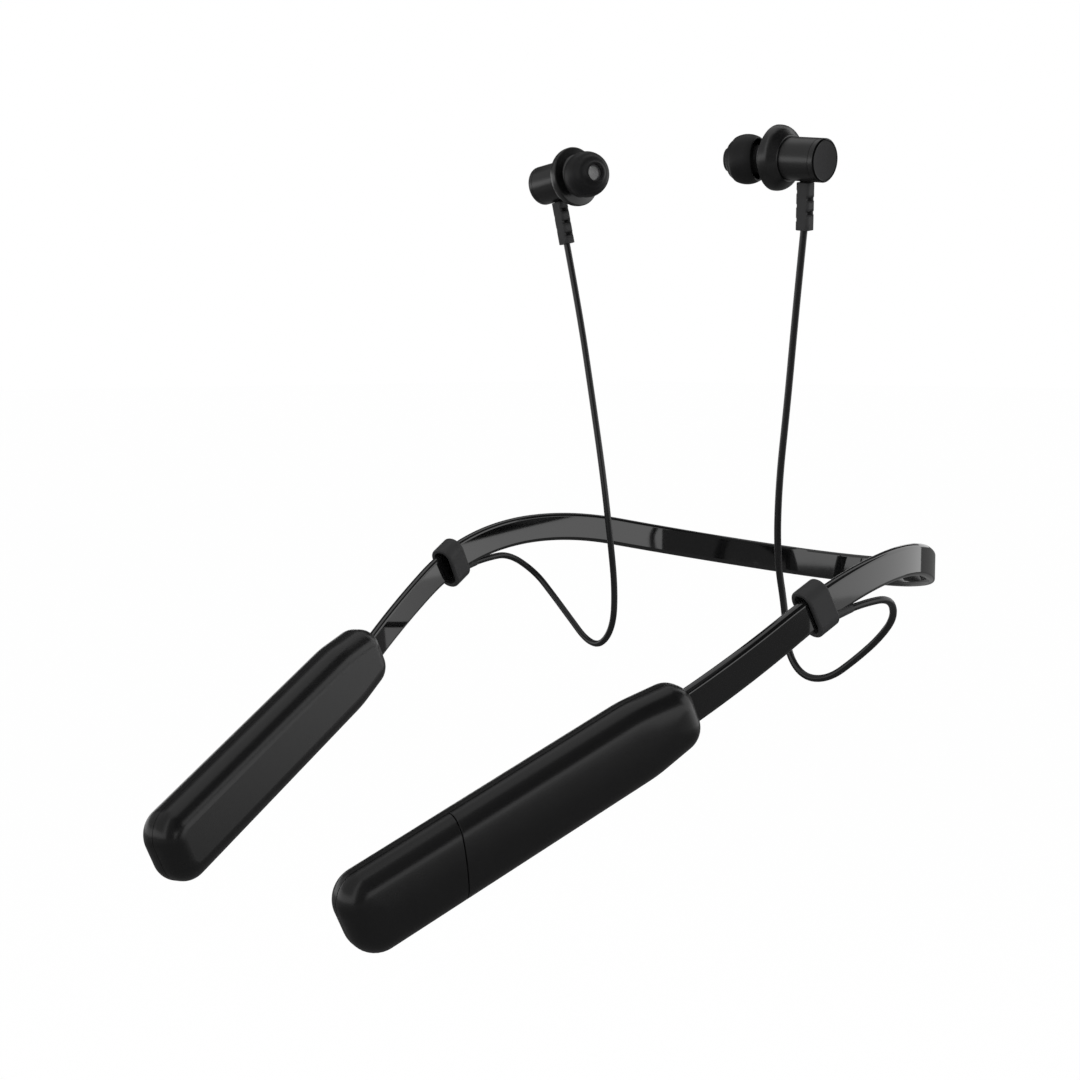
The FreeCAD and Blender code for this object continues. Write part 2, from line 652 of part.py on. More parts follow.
port_mouth = edge_level - S.pod_wall
port_body = box("port_body", (port_low, -S.port_thickness / 2, port_mouth - S.port_depth),
                (port_high, S.port_thickness / 2, port_mouth))
port_foot = port_mouth - S.port_depth
port_hollow = box("port_hollow", (port_low + S.port_wall, -S.port_thickness / 2 + S.port_wall,
                                  port_foot + S.port_wall),
                  (port_high - S.port_wall, S.port_thickness / 2 - S.port_wall, S.pod_height))
port_tongue = box("port_tongue", (S.port_place - S.tongue_width / 2, -S.tongue_thickness / 2, port_foot),
                  (S.port_place + S.tongue_width / 2, S.tongue_thickness / 2,
                   port_mouth - S.tongue_set_back))
piece(fuse("port_shell", [cut("port_tube", port_body, port_hollow), port_tongue]), "charging_port", right)
piece(common("flap_cover", form, flap_block), "port_flap", right)

left = POD["left"]
cell_half = S.cell_thickness / 2
cell_end = S.cell_start + S.cell_length
piece(box("cell", (S.cell_start, -cell_half, -S.cell_height / 2),
          (cell_end, cell_half, S.cell_height / 2), left), "battery_cell")
pad_start = S.cell_start + (S.cell_length - S.pad_length) / 2
piece(group("foam", [box("foam_inner", (pad_start, -inner_wall, -S.pad_height / 2),
                         (pad_start + S.pad_length, -cell_half, S.pad_height / 2)),
                     box("foam_outer", (pad_start, cell_half, -S.pad_height / 2),
                         (pad_start + S.pad_length, inner_wall, S.pad_height / 2))]),
      "battery_foam_pads", left)
piece(box("guard", (cell_end, -S.guard_thickness / 2, -S.guard_height / 2),
          (cell_end + S.guard_length, S.guard_thickness / 2, S.guard_height / 2), left),
      "battery_guard_board")

# ---------------------------------------------------------------- keepers

def oval_bar(name, length, height, thickness, edge=None):
    """Oval bar along x, its four long edges rounded until its ends are nearly round."""
    half, rise = thickness / 2, height / 2
    outline = [(-half, -rise), (half, -rise), (half, rise), (-half, rise)]
    body, pad = padded(name, "YZ_Plane", outline, length)

    def lengthwise(e, middle):
        return abs(middle.x) < NEAR
    feature = rounded(body, pad, lengthwise, half - S.keeper_flat)
    if edge is not None:
        end = float(length) / 2
        rounded(body, feature, lambda e, middle: abs(abs(middle.x) - end) < NEAR, edge)
    return body


def keeper_seat(side):
    """Ring's frame: its middle on the arm, and x along the chord that it slides on."""
    start = strap_frame(S.keeper_angle, 1)
    stop = strap_frame(S.keeper_angle + S.keeper_travel / S.side_radius * dim(180 / math.pi), 1)
    chord = stop.Base - start.Base
    up = start.Rotation.multVec(Vector(0, 0, 1)) + stop.Rotation.multVec(Vector(0, 0, 1))
    shift = Placement(Vector(0, -float(S.keeper_shift), 0), Rotation())
    return mirrored(start.Base, chord, up, side).multiply(shift)


keeper_bar = oval_bar("keeper_bar", S.keeper_length, S.keeper_height, S.keeper_thickness, S.keeper_edge)
keeper_hollow = oval_bar("keeper_hollow", S.keeper_length * 2, S.keeper_height - S.keeper_wall * 2,
                         S.keeper_thickness - S.keeper_wall * 2)
KEEPER_ROOM = {}
for side_name, side in (("left", 1), ("right", -1)):
    seat = keeper_seat(side)
    piece(cut(side_name + "_ring", keeper_bar, keeper_hollow), side_name + "_cord_keeper", seat)
    KEEPER_ROOM[side_name] = box(side_name + "_keeper_room",
                                 (-S.keeper_length / 2 - S.outlet_gap, -S.keeper_height, -S.keeper_height),
                                 (S.keeper_travel + S.keeper_length, S.keeper_height, S.keeper_height), seat)
    print("frame", side_name + "_keeper", tuple(seat.Base), tuple(seat.Rotation.multVec(Vector(1, 0, 0))))

# ---------------------------------------------------------------- cords

def cord_path(points):
    """Straight runs joined by tangent arcs, each as large as its two runs allow."""
    spots = [Vector(*p) for p in points]
    runs = [b - a for a, b in zip(spots, spots[1:])]
    edges, last, radii = [], spots[0], []
    for i in range(1, len(spots) - 1):
        before, after = Vector(runs[i - 1]).normalize(), Vector(runs[i]).normalize()
        turn = before.getAngle(after)
        reach = CORD_ARC_SHARE * min(runs[i - 1].Length, runs[i].Length)
        radius = reach / math.tan(turn / 2)
        start, end = spots[i] - before * reach, spots[i] + after * reach
        inward = (after - before).normalize()
        middle = spots[i] + inward * (radius / math.cos(turn / 2) - radius)
        edges += [Part.LineSegment(last, start).toShape(), Part.Arc(start, middle, end).toShape()]
        last = end
        radii.append(round(radius, 1))
    edges.append(Part.LineSegment(last, spots[-1]).toShape())
    return Part.Wire(edges), radii


def cord_tube(points):
    """Round tube along a cord's path."""
    path, radii = cord_path(points)
    radius = float(S.cord_diameter) / 2
    heading = Vector(*points[1]) - Vector(*points[0])
    section = Part.Wire(Part.Circle(Vector(*points[0]), heading, radius).toShape())
    tube = path.makePipeShell([section], True, False)
    print("cord length %.1f, arc radii %s, volume over section and length %.4f"
          % (path.Length, radii, tube.Volume / (math.pi * radius ** 2 * path.Length)))
    return tube


TUBES = {}
for side_name, side in (("left", 1), ("right", -1)):
    outlet = seated(S.outlet_angle, (0, S.outlet_out, -S.outlet_drop), (S.outlet_yaw, S.outlet_pitch, 0),
                    side)
    lead = outlet.multVec(Vector(-float(S.cord_lead), 0, 0))
    points = [(side * x, y, z) for x, y, z in CORD_POINTS] + [tuple(lead), tuple(outlet.Base)]
    print("cord ends", [tuple(round(v, 2) for v in point) for point in points[-2:]])
    TUBES[side_name] = piece(solid(side_name + "_cord_tube", cord_tube(points)), side_name + "_cord")
    sleeve = doc.addObject("Part::Cone", side_name + "_sleeve")
    bind(sleeve, "Radius1", S.cord_diameter / 2 + S.fit_gap)
    bind(sleeve, "Radius2", S.outlet_radius)
    bind(sleeve, "Height", S.outlet_length)
    sleeve.Placement = outlet.multiply(Placement(Vector(), Rotation(Vector(0, 0, 1), Vector(1, 0, 0))))
    bar_and_ring = fuse(side_name + "_outlet_tools", [strap, KEEPER_ROOM[side_name]])
    piece(cut(side_name + "_outlet", sleeve, bar_and_ring), side_name + "_cord_outlet")

# ---------------------------------------------------------------- buds

def bud_frame(side):
    """x outwards along the bud and z up along its strain relief, the same on each side."""
    yaw, pitch, roll = [math.radians(float(a)) for a in (S.bud_yaw, S.bud_pitch, S.bud_roll)]
    along = Vector(math.cos(yaw) * math.cos(pitch), math.sin(yaw) * math.cos(pitch), math.sin(pitch))
    level = place(Vector(), along, Vector(0, 0, 1)).Rotation
    up = level.multVec(Vector(0, -math.sin(roll), math.cos(roll)))
    return place(Vector(side * float(S.bud_x), float(S.bud_y), float(S.bud_z)),
                 Vector(side * along.x, along.y, along.z), Vector(side * up.x, up.y, up.z))


def nozzle_tilt(side):
    """The nozzle's turn, forward and down, against its bud."""
    pivot = Placement(Vector(float(S.nozzle_pivot), 0, 0), Rotation())
    turn = Placement(Vector(), Rotation(side * float(S.nozzle_yaw), -float(S.nozzle_dip), 0))
    return pivot.multiply(turn).multiply(pivot.inverse())


def ear_tip(name):
    """Mushroom tip: a domed skirt round a stem, open behind, with a bore to the mouth."""
    centre, nose = -S.tip_centre, -(S.tip_centre + S.tip_radius)
    skirt_end = S.tip_back - S.tip_centre
    reach = S.tip_radius * 2
    dome = common(name + "_dome", sphere(name + "_ball", S.tip_radius, centre),
                  box(name + "_span", (-reach * 2, -reach, -reach), (skirt_end, reach, reach)))
    hollow = common(name + "_hollow", sphere(name + "_hollow_ball", S.tip_radius - S.tip_skirt, centre),
                    box(name + "_hollow_span", (nose + S.tip_nose, -reach, -reach), (0, reach, reach)))
    stem = cylinder(name + "_stem", S.tip_stem, (nose + S.tip_nose / 2, 0, 0), -S.tip_stem_end, "x")
    mouth = cylinder(name + "_mouth", S.tip_mouth, (nose - S.tip_nose, 0, 0), 0, "x")
    bore = cylinder(name + "_bore", S.nozzle_radius + S.tip_clearance, (-S.nozzle_front, 0, 0), 0, "x")
    body = fuse(name + "_body", [cut(name + "_shell", dome, hollow), stem])
    return cut(name, body, fuse(name + "_way", [mouth, bore]))


def strain_relief(name, barrel, cord):
    """Flexible sleeve under the barrel, notched from alternate sides, with the cord in its foot."""
    half, deep, foot = S.relief_width / 2, S.relief_depth / 2, -S.relief_reach
    low, high = S.relief_place - half, S.relief_place + half
    blank, pad = padded(name + "_blank", "XY_Plane", [(low, -deep), (high, -deep), (high, deep), (low, deep)],
                        S.relief_reach, False)

    def upright(edge, middle):
        return abs(edge.tangentAt(edge.FirstParameter).z) > 0.9
    rounded(blank, pad, upright, S.relief_round)
    blank.Placement.Base = Vector(0, 0, float(foot))
    tools = [barrel, cord]
    for i in range(SLOTS):
        floor = foot + S.slot_start + S.slot_pitch * i
        first, last = (low - half, low + S.slot_depth) if i % 2 else (high - S.slot_depth, high + half)
        tools.append(box("%s_slot_%d" % (name, i), (first, -deep * 2, floor),
                         (last, deep * 2, floor + S.slot_height)))
    sleeve = cut(name + "_sleeve", blank, fuse(name + "_tools", tools))
    neck_foot = -S.barrel_radius - S.relief_neck_depth
    neck = cylinder(name + "_neck", S.relief_neck, (S.relief_place, 0, neck_foot),
                    -S.barrel_radius + S.barrel_wall, "z")
    return fuse(name, [sleeve, neck])


inside = S.barrel_radius - S.barrel_wall
wall_back = S.bell_wall - S.bell_front
for side_name, side in (("left", 1), ("right", -1)):
    frame, tilt = bud_frame(side), nozzle_tilt(side)
    tilted = frame.multiply(tilt)
    tag = side_name + "_"
    neck_hole = cylinder(tag + "neck_hole", S.relief_neck, (S.relief_place, 0, -S.barrel_radius * 2), 0, "z")
    nozzle_rod = cylinder(tag + "nozzle_rod", S.nozzle_radius, (-S.nozzle_front, 0, 0), S.nozzle_pivot, "x",
                          tilt)

    bell = turned(tag + "bell", [
        (-S.bell_front, 0), (-S.bell_front, S.bell_nose), (-S.crease_depth, S.crease_radius),
        (0, S.rim_radius - S.rim_bevel), (S.rim_bevel, S.rim_radius), (S.rim_band, S.rim_radius),
        (S.bell_length, S.bell_end_radius), (S.bell_length, S.driver_radius), (0, S.driver_radius),
        (0, S.chamber_radius), (wall_back, S.chamber_radius), (wall_back, 0)],
        rounds=[(S.rim_band, S.rim_radius, S.rim_round),
                (S.bell_length, S.bell_end_radius, S.bell_end_round)])
    piece(cut(tag + "bell_drilled", bell, nozzle_rod), tag + "bud_front_housing", frame)
    sleeve = turned(tag + "barrel", [
        (S.bell_length, inside), (S.bell_length, S.barrel_radius), (S.barrel_end, S.barrel_radius),
        (S.barrel_end, inside)])
    spigot = turned(tag + "barrel_spigot", [
        (S.driver_length, S.driver_radius - S.barrel_wall), (S.driver_length, S.driver_radius),
        (S.bell_length, S.driver_radius),
        (S.bell_length, inside), (S.bell_length + S.barrel_spigot, inside),
        (S.bell_length + S.barrel_spigot, S.driver_radius - S.barrel_wall)])
    piece(cut(tag + "barrel_drilled", fuse(tag + "barrel_stepped", [sleeve, spigot]), neck_hole),
          tag + "bud_barrel", frame)
    cap = turned(tag + "cap", [
        (S.barrel_end - S.cap_spigot, inside - S.barrel_wall), (S.barrel_end - S.cap_spigot, inside),
        (S.barrel_end, inside), (S.barrel_end, S.barrel_radius), (S.bud_length, S.barrel_radius),
        (S.bud_length, 0), (S.barrel_end, 0), (S.barrel_end, inside - S.barrel_wall)],
        chamfers=[(S.bud_length, S.barrel_radius, S.cap_chamfer)])
    piece(cap, tag + "bud_back_cap", frame)

    nozzle_bore = S.nozzle_radius - S.nozzle_wall
    width = S.rim_radius
    behind_wall = box(tag + "behind_wall", (wall_back, -width, -width), (S.bud_length, width, width))
    behind_nose = box(tag + "behind_nose", (-S.bell_front, -width, -width), (S.bud_length, width, width))
    collar_rod = cylinder(tag + "collar_rod", S.collar_radius, (S.fit_gap - S.tip_stem_end, 0, 0),
                          S.nozzle_pivot, "x", tilt)
    nozzle = fuse(tag + "nozzle", [cut(tag + "tube", nozzle_rod, behind_wall),
                                   cut(tag + "collar", collar_rod, behind_nose)])
    bore_rod = cylinder(tag + "nozzle_bore", nozzle_bore, (-S.tip_centre - S.tip_radius, 0, 0),
                        S.nozzle_pivot, "x", tilt)
    piece(cut(tag + "nozzle_drilled", nozzle, bore_rod), tag + "bud_nozzle", frame)
    mesh_front = S.mesh_set_back - S.nozzle_front
    piece(cylinder(tag + "mesh", nozzle_bore, (mesh_front, 0, 0), mesh_front + S.mesh_thickness, "x", tilted),
          tag + "nozzle_mesh")
    piece(ear_tip(tag + "tip"), tag + "ear_tip", tilted)

    driver = turned(tag + "driver", [
        (0, S.driver_radius - S.driver_wall), (0, S.driver_radius),
        (S.driver_length, S.driver_radius), (S.driver_length, S.vent_radius),
        (S.driver_length - S.driver_wall, S.vent_radius),
        (S.driver_length - S.driver_wall, S.driver_radius - S.driver_wall)])
    piece(driver, tag + "driver_frame", frame)
    magnet_end = S.driver_length - S.driver_wall
    piece(cylinder(tag + "magnet", S.magnet_radius, (magnet_end - S.magnet_length, 0, 0), magnet_end, "x",
                   frame), tag + "driver_magnet")
    piece(cylinder(tag + "cone", S.driver_radius - S.driver_wall, (S.driver_wall, 0, 0),
                   S.driver_wall + S.diaphragm_thickness, "x", frame), tag + "driver_diaphragm")

    barrel_solid = cylinder(tag + "barrel_solid", S.barrel_radius, (0, 0, 0), S.bud_length, "x")
    cord = local_copy(tag + "cord_end", TUBES[side_name], frame)
    piece(strain_relief(tag + "relief", barrel_solid, cord), tag + "strain_relief", frame)
    for name, seat in (("bud", frame), ("tip", tilted)):
        print("frame", tag + name, tuple(seat.Base), tuple(seat.Rotation.multVec(Vector(1, 0, 0))),
              tuple(seat.Rotation.multVec(Vector(0, 0, 1))))

# ---------------------------------------------------------------- checks and export

doc.recompute()
for thing in doc.Objects:
    if "Invalid" in thing.State or "Error" in thing.State:
        raise RuntimeError("%s: %s" % (thing.Name, thing.State))
for thing in PIECES:
    if thing.Shape.isNull() or not thing.Shape.isValid():
        raise RuntimeError("bad shape: " + thing.Label)
os.makedirs("parts", exist_ok=True)
for thing in PIECES:
    thing.Shape.exportStep("parts/%s.step" % thing.Label)
    print("piece %-24s solids %d  volume %.1f" % (thing.Label, len(thing.Shape.Solids), thing.Shape.Volume))
print(len(PIECES), "pieces")
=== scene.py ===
import json
import math

import bmesh
import bpy
from mathutils import Matrix, Vector


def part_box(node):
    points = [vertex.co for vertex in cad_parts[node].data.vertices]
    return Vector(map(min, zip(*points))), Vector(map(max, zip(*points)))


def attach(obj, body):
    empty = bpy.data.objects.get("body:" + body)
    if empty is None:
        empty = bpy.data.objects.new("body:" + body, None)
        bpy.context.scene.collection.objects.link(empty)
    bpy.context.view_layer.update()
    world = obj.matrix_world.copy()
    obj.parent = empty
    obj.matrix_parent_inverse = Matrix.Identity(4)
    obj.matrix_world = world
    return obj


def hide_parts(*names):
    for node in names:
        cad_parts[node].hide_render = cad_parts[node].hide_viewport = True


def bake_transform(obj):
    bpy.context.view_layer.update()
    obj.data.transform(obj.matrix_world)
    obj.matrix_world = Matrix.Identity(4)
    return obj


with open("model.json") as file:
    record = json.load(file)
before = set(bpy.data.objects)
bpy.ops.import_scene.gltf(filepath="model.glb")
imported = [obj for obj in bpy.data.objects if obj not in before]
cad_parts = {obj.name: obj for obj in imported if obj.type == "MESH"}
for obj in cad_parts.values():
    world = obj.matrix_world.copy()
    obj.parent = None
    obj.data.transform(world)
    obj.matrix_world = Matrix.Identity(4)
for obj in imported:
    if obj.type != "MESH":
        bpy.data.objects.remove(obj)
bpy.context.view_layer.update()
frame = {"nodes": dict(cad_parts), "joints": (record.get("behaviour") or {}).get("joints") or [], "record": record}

# Neckband earphones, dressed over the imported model. Metres in the scene, with +Z up and
# -Y forward; the sizes below are millimetres and degrees, and MM turns them into metres.
MM = 0.001
SIDES = {"left": 1, "right": -1}

# ---------------------------------------------------------------- sizes

# strap: its section, the three arcs of its plan and its outline from the side
STRAP_HEIGHT, STRAP_THICKNESS, STRAP_EDGE, STRAP_STATIONS = 7.8, 2.4, 1.0, 300
PLAN_ARCS = ((37.0, 36.0), (102.0, 66.5), (161.0, 12.0))
NECK_RUN, NECK_FALL, ARCH_RADIUS, ARM_FALL = 44.9, 12.6, 89.0, 30.6

# left pod's covers, in a frame with x forward from its rear end and y outwards; the panel
# rises to a spine along the pod, and the setback is how far from the rear end the spine starts,
# beyond the panel's half height
POD_LENGTH, POD_HALF_THICKNESS, POD_HALF_HEIGHT, POD_REAR_HALF = 89.3, 5.7, 9.15, 7.3
POD_TAPER, POD_SHOULDER, POD_FRONT_CORNER, POD_REAR_CORNER = 14.5, 34.0, 6.6, 5.6
POD_EDGE, POD_LEAN, POD_CROWN, POD_PARTING, POD_WALL = 4.8, 9.5, 0.42, 0.08, 1.2
POD_SPINE_SETBACK, POD_EDGE_STEPS, POD_PANEL_RINGS = 3.4, 14, 8
SEAM_PLACE, SEAM_LEAN, SEAM_WIDTH = 59.8, 15.3, 0.2
COVER_BEVEL, COVER_BEVEL_ANGLE = 0.14, 50.0
BUTTON_PLACES, BUTTON_TOP, FLAT = {"volume_up": 25.0, "volume_down": 45.0}, 6.05, 0.01

# keeper rings
KEEPER_LENGTH, KEEPER_HEIGHT, KEEPER_THICKNESS, KEEPER_WALL = 6.2, 12.2, 6.8, 1.15
KEEPER_FLAT, KEEPER_LIP = 0.1, 0.5

# buds, along their own axis from the flange's front edge to the cap
BUD_SIDES = 128
RIM_RADIUS, RIM_BEVEL, RIM_BAND, RIM_ROUND, RIM_EDGE = 7.75, 0.22, 1.9, 3.0, 0.05
CREASE_RADIUS, CREASE_DEPTH, CREASE_ROUND = 5.6, 0.6, 0.5
NOSE_RADIUS, NOSE_DEPTH, NOSE_ROUND = 3.5, 3.2, 0.2
BELL_LENGTH, BELL_END_RADIUS, BELL_END_ROUND = 4.2, 5.5, 0.6
BARREL_RADIUS, BARREL_END, BUD_LENGTH = 5.12, 12.6, 14.2
SEAM, SEAM_DEPTH, SEAM_EDGE = 0.05, 0.3, 0.08
CAP_CHAMFER, CAP_RECESS, CAP_RIM = 0.35, 0.12, 0.15
CAP_SHOULDER_ROUND, CAP_RIM_ROUND, CAP_RECESS_ROUND = 0.15, 0.12, 0.1
INNER_RADIUS, NOZZLE_PIVOT, NOZZLE_FRONT, NOZZLE_RADIUS = 4.5, 3.0, 10.6, 2.6

# ear tips, along the nozzle: angles are counted from the widest place towards the mouth
TIP_SIDES, TIP_STEPS = 96, 30
TIP_RADIUS, TIP_CENTRE, TIP_BACK, TIP_SKIRT, TIP_HOLLOW = 5.93, 6.9, 2.8, 0.6, 4.0
TIP_STEM, TIP_STEM_END, TIP_STEM_GAP, TIP_STEM_ROUND, TIP_ROOT = 3.35, 3.5, 0.05, 0.15, 0.4
TIP_MOUTH, TIP_FLARE, TIP_LIP, TIP_LIP_STEP, TIP_SEAT = 2.1, 1.6, 0.55, 0.12, 0.2
TIP_LIP_ROUND, TIP_MOUTH_ROUND, TIP_SMALL_ROUND = 0.5, 0.25, 0.1
TIP_LEDGES, TIP_LEDGE_DEPTH, TIP_LEDGE_SPREAD = (26.0, 44.0), 0.22, 7.0

# strain reliefs: sleeve, the two rounded ends as (distance, scale), then the slots
RELIEF_PLACE, RELIEF_REACH, RELIEF_WIDTH, RELIEF_DEPTH, RELIEF_ROUND = 8.6, 16.54, 3.7, 3.1, 0.8
RELIEF_TOP, RELIEF_NECK, RELIEF_NECK_REACH, RELIEF_SPLITS = 5.3, 1.2, 0.8, 4
RELIEF_FOOT_ENDS = ((0.0, 0.9), (0.03, 0.96), (0.12, 1.0))
RELIEF_TOP_ENDS = ((0.15, 1.0), (0.03, 0.96), (0.0, 0.88))
SLOTS, SLOT_START, SLOT_PITCH, SLOT_HEIGHT, SLOT_DEPTH = 5, 2.05, 1.63, 0.9, 0.5
SLOT_POCKET, SLOT_POCKET_SHARE = 1.0, 0.27

# cords
CORD_DIAMETER, CORD_LENGTH, CORD_STEPS, CORD_ROUND_STEPS = 1.75, 165.0, 14, 6
CORD_POINTS = (
    (40.4, -77.1, 91.8), (36.8, -75.4, 72.0), (33.5, -74.0, 50.0), (30.2, -73.0, 29.0),
    (28.8, -71.5, 11.0), (29.5, -69.0, -2.0), (30.2, -68.8, -12.5), (35.0, -68.5, -18.5),
    (42.0, -67.2, -18.2), (49.5, -66.5, -12.5), (56.5, -66.5, -6.5), (62.0, -68.0, -0.5),
    (65.5, -75.0, 5.0), (64.8, -84.0, 4.5), (64.5, -88.5, 3.7),
)

# ---------------------------------------------------------------- finishes

# heights of bumps and lengths are metres here; a scale counts repeats in a metre
GRAIN_RELIEF, GRAIN_DETAIL, PATCH_SCALE, PATCH_DETAIL = 0.0001, 3.0, 180.0, 4.0
SPUN_METALLIC, SPUN_STRETCH, SPUN_SCALE, SPUN_DETAIL = 0.9, 0.9, 9000.0, 2.0
SPUN_SPREAD, SPUN_STRENGTH, SPUN_RELIEF = 0.08, 0.06, 0.00005
GAUZE_ROUGHNESS, GAUZE_METALLIC, GAUZE_RELIEF = 0.45, 0.3, 0.0001
# the gauze's hole colour is painted shade: a darker grey for the dark seen through the holes
GAUZE_HOLE_SHADE, GAUZE_WIRE_SHARE = (0.3, 0.3, 0.3, 1.0), 0.75
LATHE_MAP = "lathe_map"


def fresh_material(name, colour, roughness, metallic=0.0):
    """Material with a plain shader, ready for its own nodes."""
    made = bpy.data.materials.new(name)
    made.use_nodes = True
    shader = made.node_tree.nodes["Principled BSDF"]
    shader.inputs["Base Color"].default_value = (*colour, 1.0)
    shader.inputs["Roughness"].default_value = roughness
    shader.inputs["Metallic"].default_value = metallic
    return made, made.node_tree, shader


def new_group(name, inputs, outputs):
    """Empty node group with named sockets."""
    group = bpy.data.node_groups.new(name, "ShaderNodeTree")
    for label, kind, value in inputs:
        socket = group.interface.new_socket(label, in_out="INPUT", socket_type=kind)
        socket.default_value = value
    for label, kind in outputs:
        group.interface.new_socket(label, in_out="OUTPUT", socket_type=kind)
    return group, group.nodes.new("NodeGroupInput"), group.nodes.new("NodeGroupOutput")


def math_node(tree, operation, *values):
    """Math node whose inputs are numbers or sockets; gives back its output."""
    node = tree.nodes.new("ShaderNodeMath")
    node.operation = operation
    for slot, value in zip(node.inputs, values):
        if isinstance(value, (int, float)):
            slot.default_value = value
        else:
            tree.links.new(value, slot)
    return node.outputs[0]


def moulded_grain():
    """Skin of a moulded piece: fine grain, patchy gloss and a trace of colour change."""
    group, given, result = new_group(
        "moulded_grain",
        [("Color", "NodeSocketColor", (0.02, 0.02, 0.02, 1.0)),
         ("Color Spread", "NodeSocketFloat", 0.15), ("Grain Size", "NodeSocketFloat", 0.0004),
         ("Depth", "NodeSocketFloat", 0.1), ("Roughness", "NodeSocketFloat", 0.5),
         ("Roughness Spread", "NodeSocketFloat", 0.05)],
        [("Color", "NodeSocketColor"), ("Normal", "NodeSocketVector"),
         ("Roughness", "NodeSocketFloat")])
    nodes, links = group.nodes, group.links
    place = nodes.new("ShaderNodeTexCoord").outputs["Object"]
    pits = nodes.new("ShaderNodeTexNoise")
    pits.inputs["Detail"].default_value = GRAIN_DETAIL
    links.new(place, pits.inputs["Vector"])
    links.new(math_node(group, "DIVIDE", 1.0, given.outputs["Grain Size"]), pits.inputs["Scale"])
    bump = nodes.new("ShaderNodeBump")
    bump.inputs["Distance"].default_value = GRAIN_RELIEF
    links.new(given.outputs["Depth"], bump.inputs["Strength"])
    links.new(pits.outputs["Fac"], bump.inputs["Height"])
    links.new(bump.outputs["Normal"], result.inputs["Normal"])
    patches = nodes.new("ShaderNodeTexNoise")
    patches.inputs["Scale"].default_value = PATCH_SCALE
    patches.inputs["Detail"].default_value = PATCH_DETAIL
    links.new(place, patches.inputs["Vector"])
    centred = math_node(group, "SUBTRACT", patches.outputs["Fac"], 0.5)
    links.new(math_node(group, "MULTIPLY_ADD", centred, given.outputs["Roughness Spread"],
                        given.outputs["Roughness"]), result.inputs["Roughness"])
    tone = nodes.new("ShaderNodeHueSaturation")
    links.new(given.outputs["Color"], tone.inputs["Color"])
    links.new(math_node(group, "MULTIPLY_ADD", centred, given.outputs["Color Spread"], 1.0),
              tone.inputs["Value"])
    links.new(tone.outputs["Color"], result.inputs["Color"])
    return group


GRAIN = moulded_grain()


def moulded(name, colour, roughness, grain=0.0003, depth=0.05, spread=0.06, metallic=0.0, ior=1.5):
    """Moulded plastic, rubber, silicone, paint or plated metal."""
    made, tree, shader = fresh_material(name, colour, roughness, metallic)
    surface = tree.nodes.new("ShaderNodeGroup")
    surface.node_tree = GRAIN
    surface.inputs["Color"].default_value = (*colour, 1.0)
    surface.inputs["Grain Size"].default_value = grain
    surface.inputs["Depth"].default_value = depth
    surface.inputs["Roughness"].default_value = roughness
    surface.inputs["Roughness Spread"].default_value = spread
    tree.links.new(surface.outputs["Color"], shader.inputs["Base Color"])
    tree.links.new(surface.outputs["Normal"], shader.inputs["Normal"])
    tree.links.new(surface.outputs["Roughness"], shader.inputs["Roughness"])
    shader.inputs["IOR"].default_value = ior
    return made


def spun_metal(name, colour, roughness):
    """Black metal turned on a lathe: fine rings round the axis, and gloss stretched across them."""
    made, tree, shader = fresh_material(name, colour, roughness, SPUN_METALLIC)
    nodes, links = tree.nodes, tree.links
    tangent = nodes.new("ShaderNodeTangent")
    tangent.direction_type = "UV_MAP"
    tangent.uv_map = LATHE_MAP
    links.new(tangent.outputs["Tangent"], shader.inputs["Tangent"])
    shader.inputs["Anisotropic"].default_value = SPUN_STRETCH
    across = nodes.new("ShaderNodeSeparateXYZ")
    where = nodes.new("ShaderNodeUVMap")
    where.uv_map = LATHE_MAP
    links.new(where.outputs["UV"], across.inputs["Vector"])
    rings = nodes.new("ShaderNodeTexNoise")
    rings.noise_dimensions = "1D"
    rings.inputs["Detail"].default_value = SPUN_DETAIL
    links.new(math_node(tree, "MULTIPLY", across.outputs["Y"], SPUN_SCALE), rings.inputs["W"])
    links.new(math_node(tree, "MULTIPLY_ADD", rings.outputs["Fac"], SPUN_SPREAD,
                        roughness - SPUN_SPREAD / 2), shader.inputs["Roughness"])
    bump = nodes.new("ShaderNodeBump")
    bump.inputs["Strength"].default_value = SPUN_STRENGTH
    bump.inputs["Distance"].default_value = SPUN_RELIEF
    links.new(rings.outputs["Fac"], bump.inputs["Height"])
    links.new(bump.outputs["Normal"], shader.inputs["Normal"])
    return made


def woven_mesh(name, colour, pitch):
    """Steel gauze: round wires over and under each other, with painted shade in the holes between."""
    made, tree, shader = fresh_material(name, colour, GAUZE_ROUGHNESS, GAUZE_METALLIC)
    nodes, links = tree.nodes, tree.links
    place = nodes.new("ShaderNodeTexCoord")
    parts = nodes.new("ShaderNodeSeparateXYZ")
    links.new(place.outputs["Object"], parts.inputs["Vector"])
    turns = math.pi / (pitch * MM)
    waves = [math_node(tree, "SINE", math_node(tree, "MULTIPLY", parts.outputs[axis], turns))
             for axis in ("Y", "Z")]
    wires = [math_node(tree, "ABSOLUTE", wave) for wave in waves]
    height = math_node(tree, "MINIMUM", *wires)
    solid = math_node(tree, "GREATER_THAN", math_node(tree, "MAXIMUM", *wires), GAUZE_WIRE_SHARE)
    tone = nodes.new("ShaderNodeMix")
    tone.data_type = "RGBA"
    # painted shade: the holes get the darker grey in place of the dark seen through them
    tone.inputs["A"].default_value = GAUZE_HOLE_SHADE
    tone.inputs["B"].default_value = (*colour, 1.0)
    links.new(solid, tone.inputs["Factor"])
    links.new(tone.outputs["Result"], shader.inputs["Base Color"])
    bump = nodes.new("ShaderNodeBump")
    bump.inputs["Distance"].default_value = GAUZE_RELIEF
    links.new(height, bump.inputs["Height"])
    links.new(bump.outputs["Normal"], shader.inputs["Normal"])
    return made


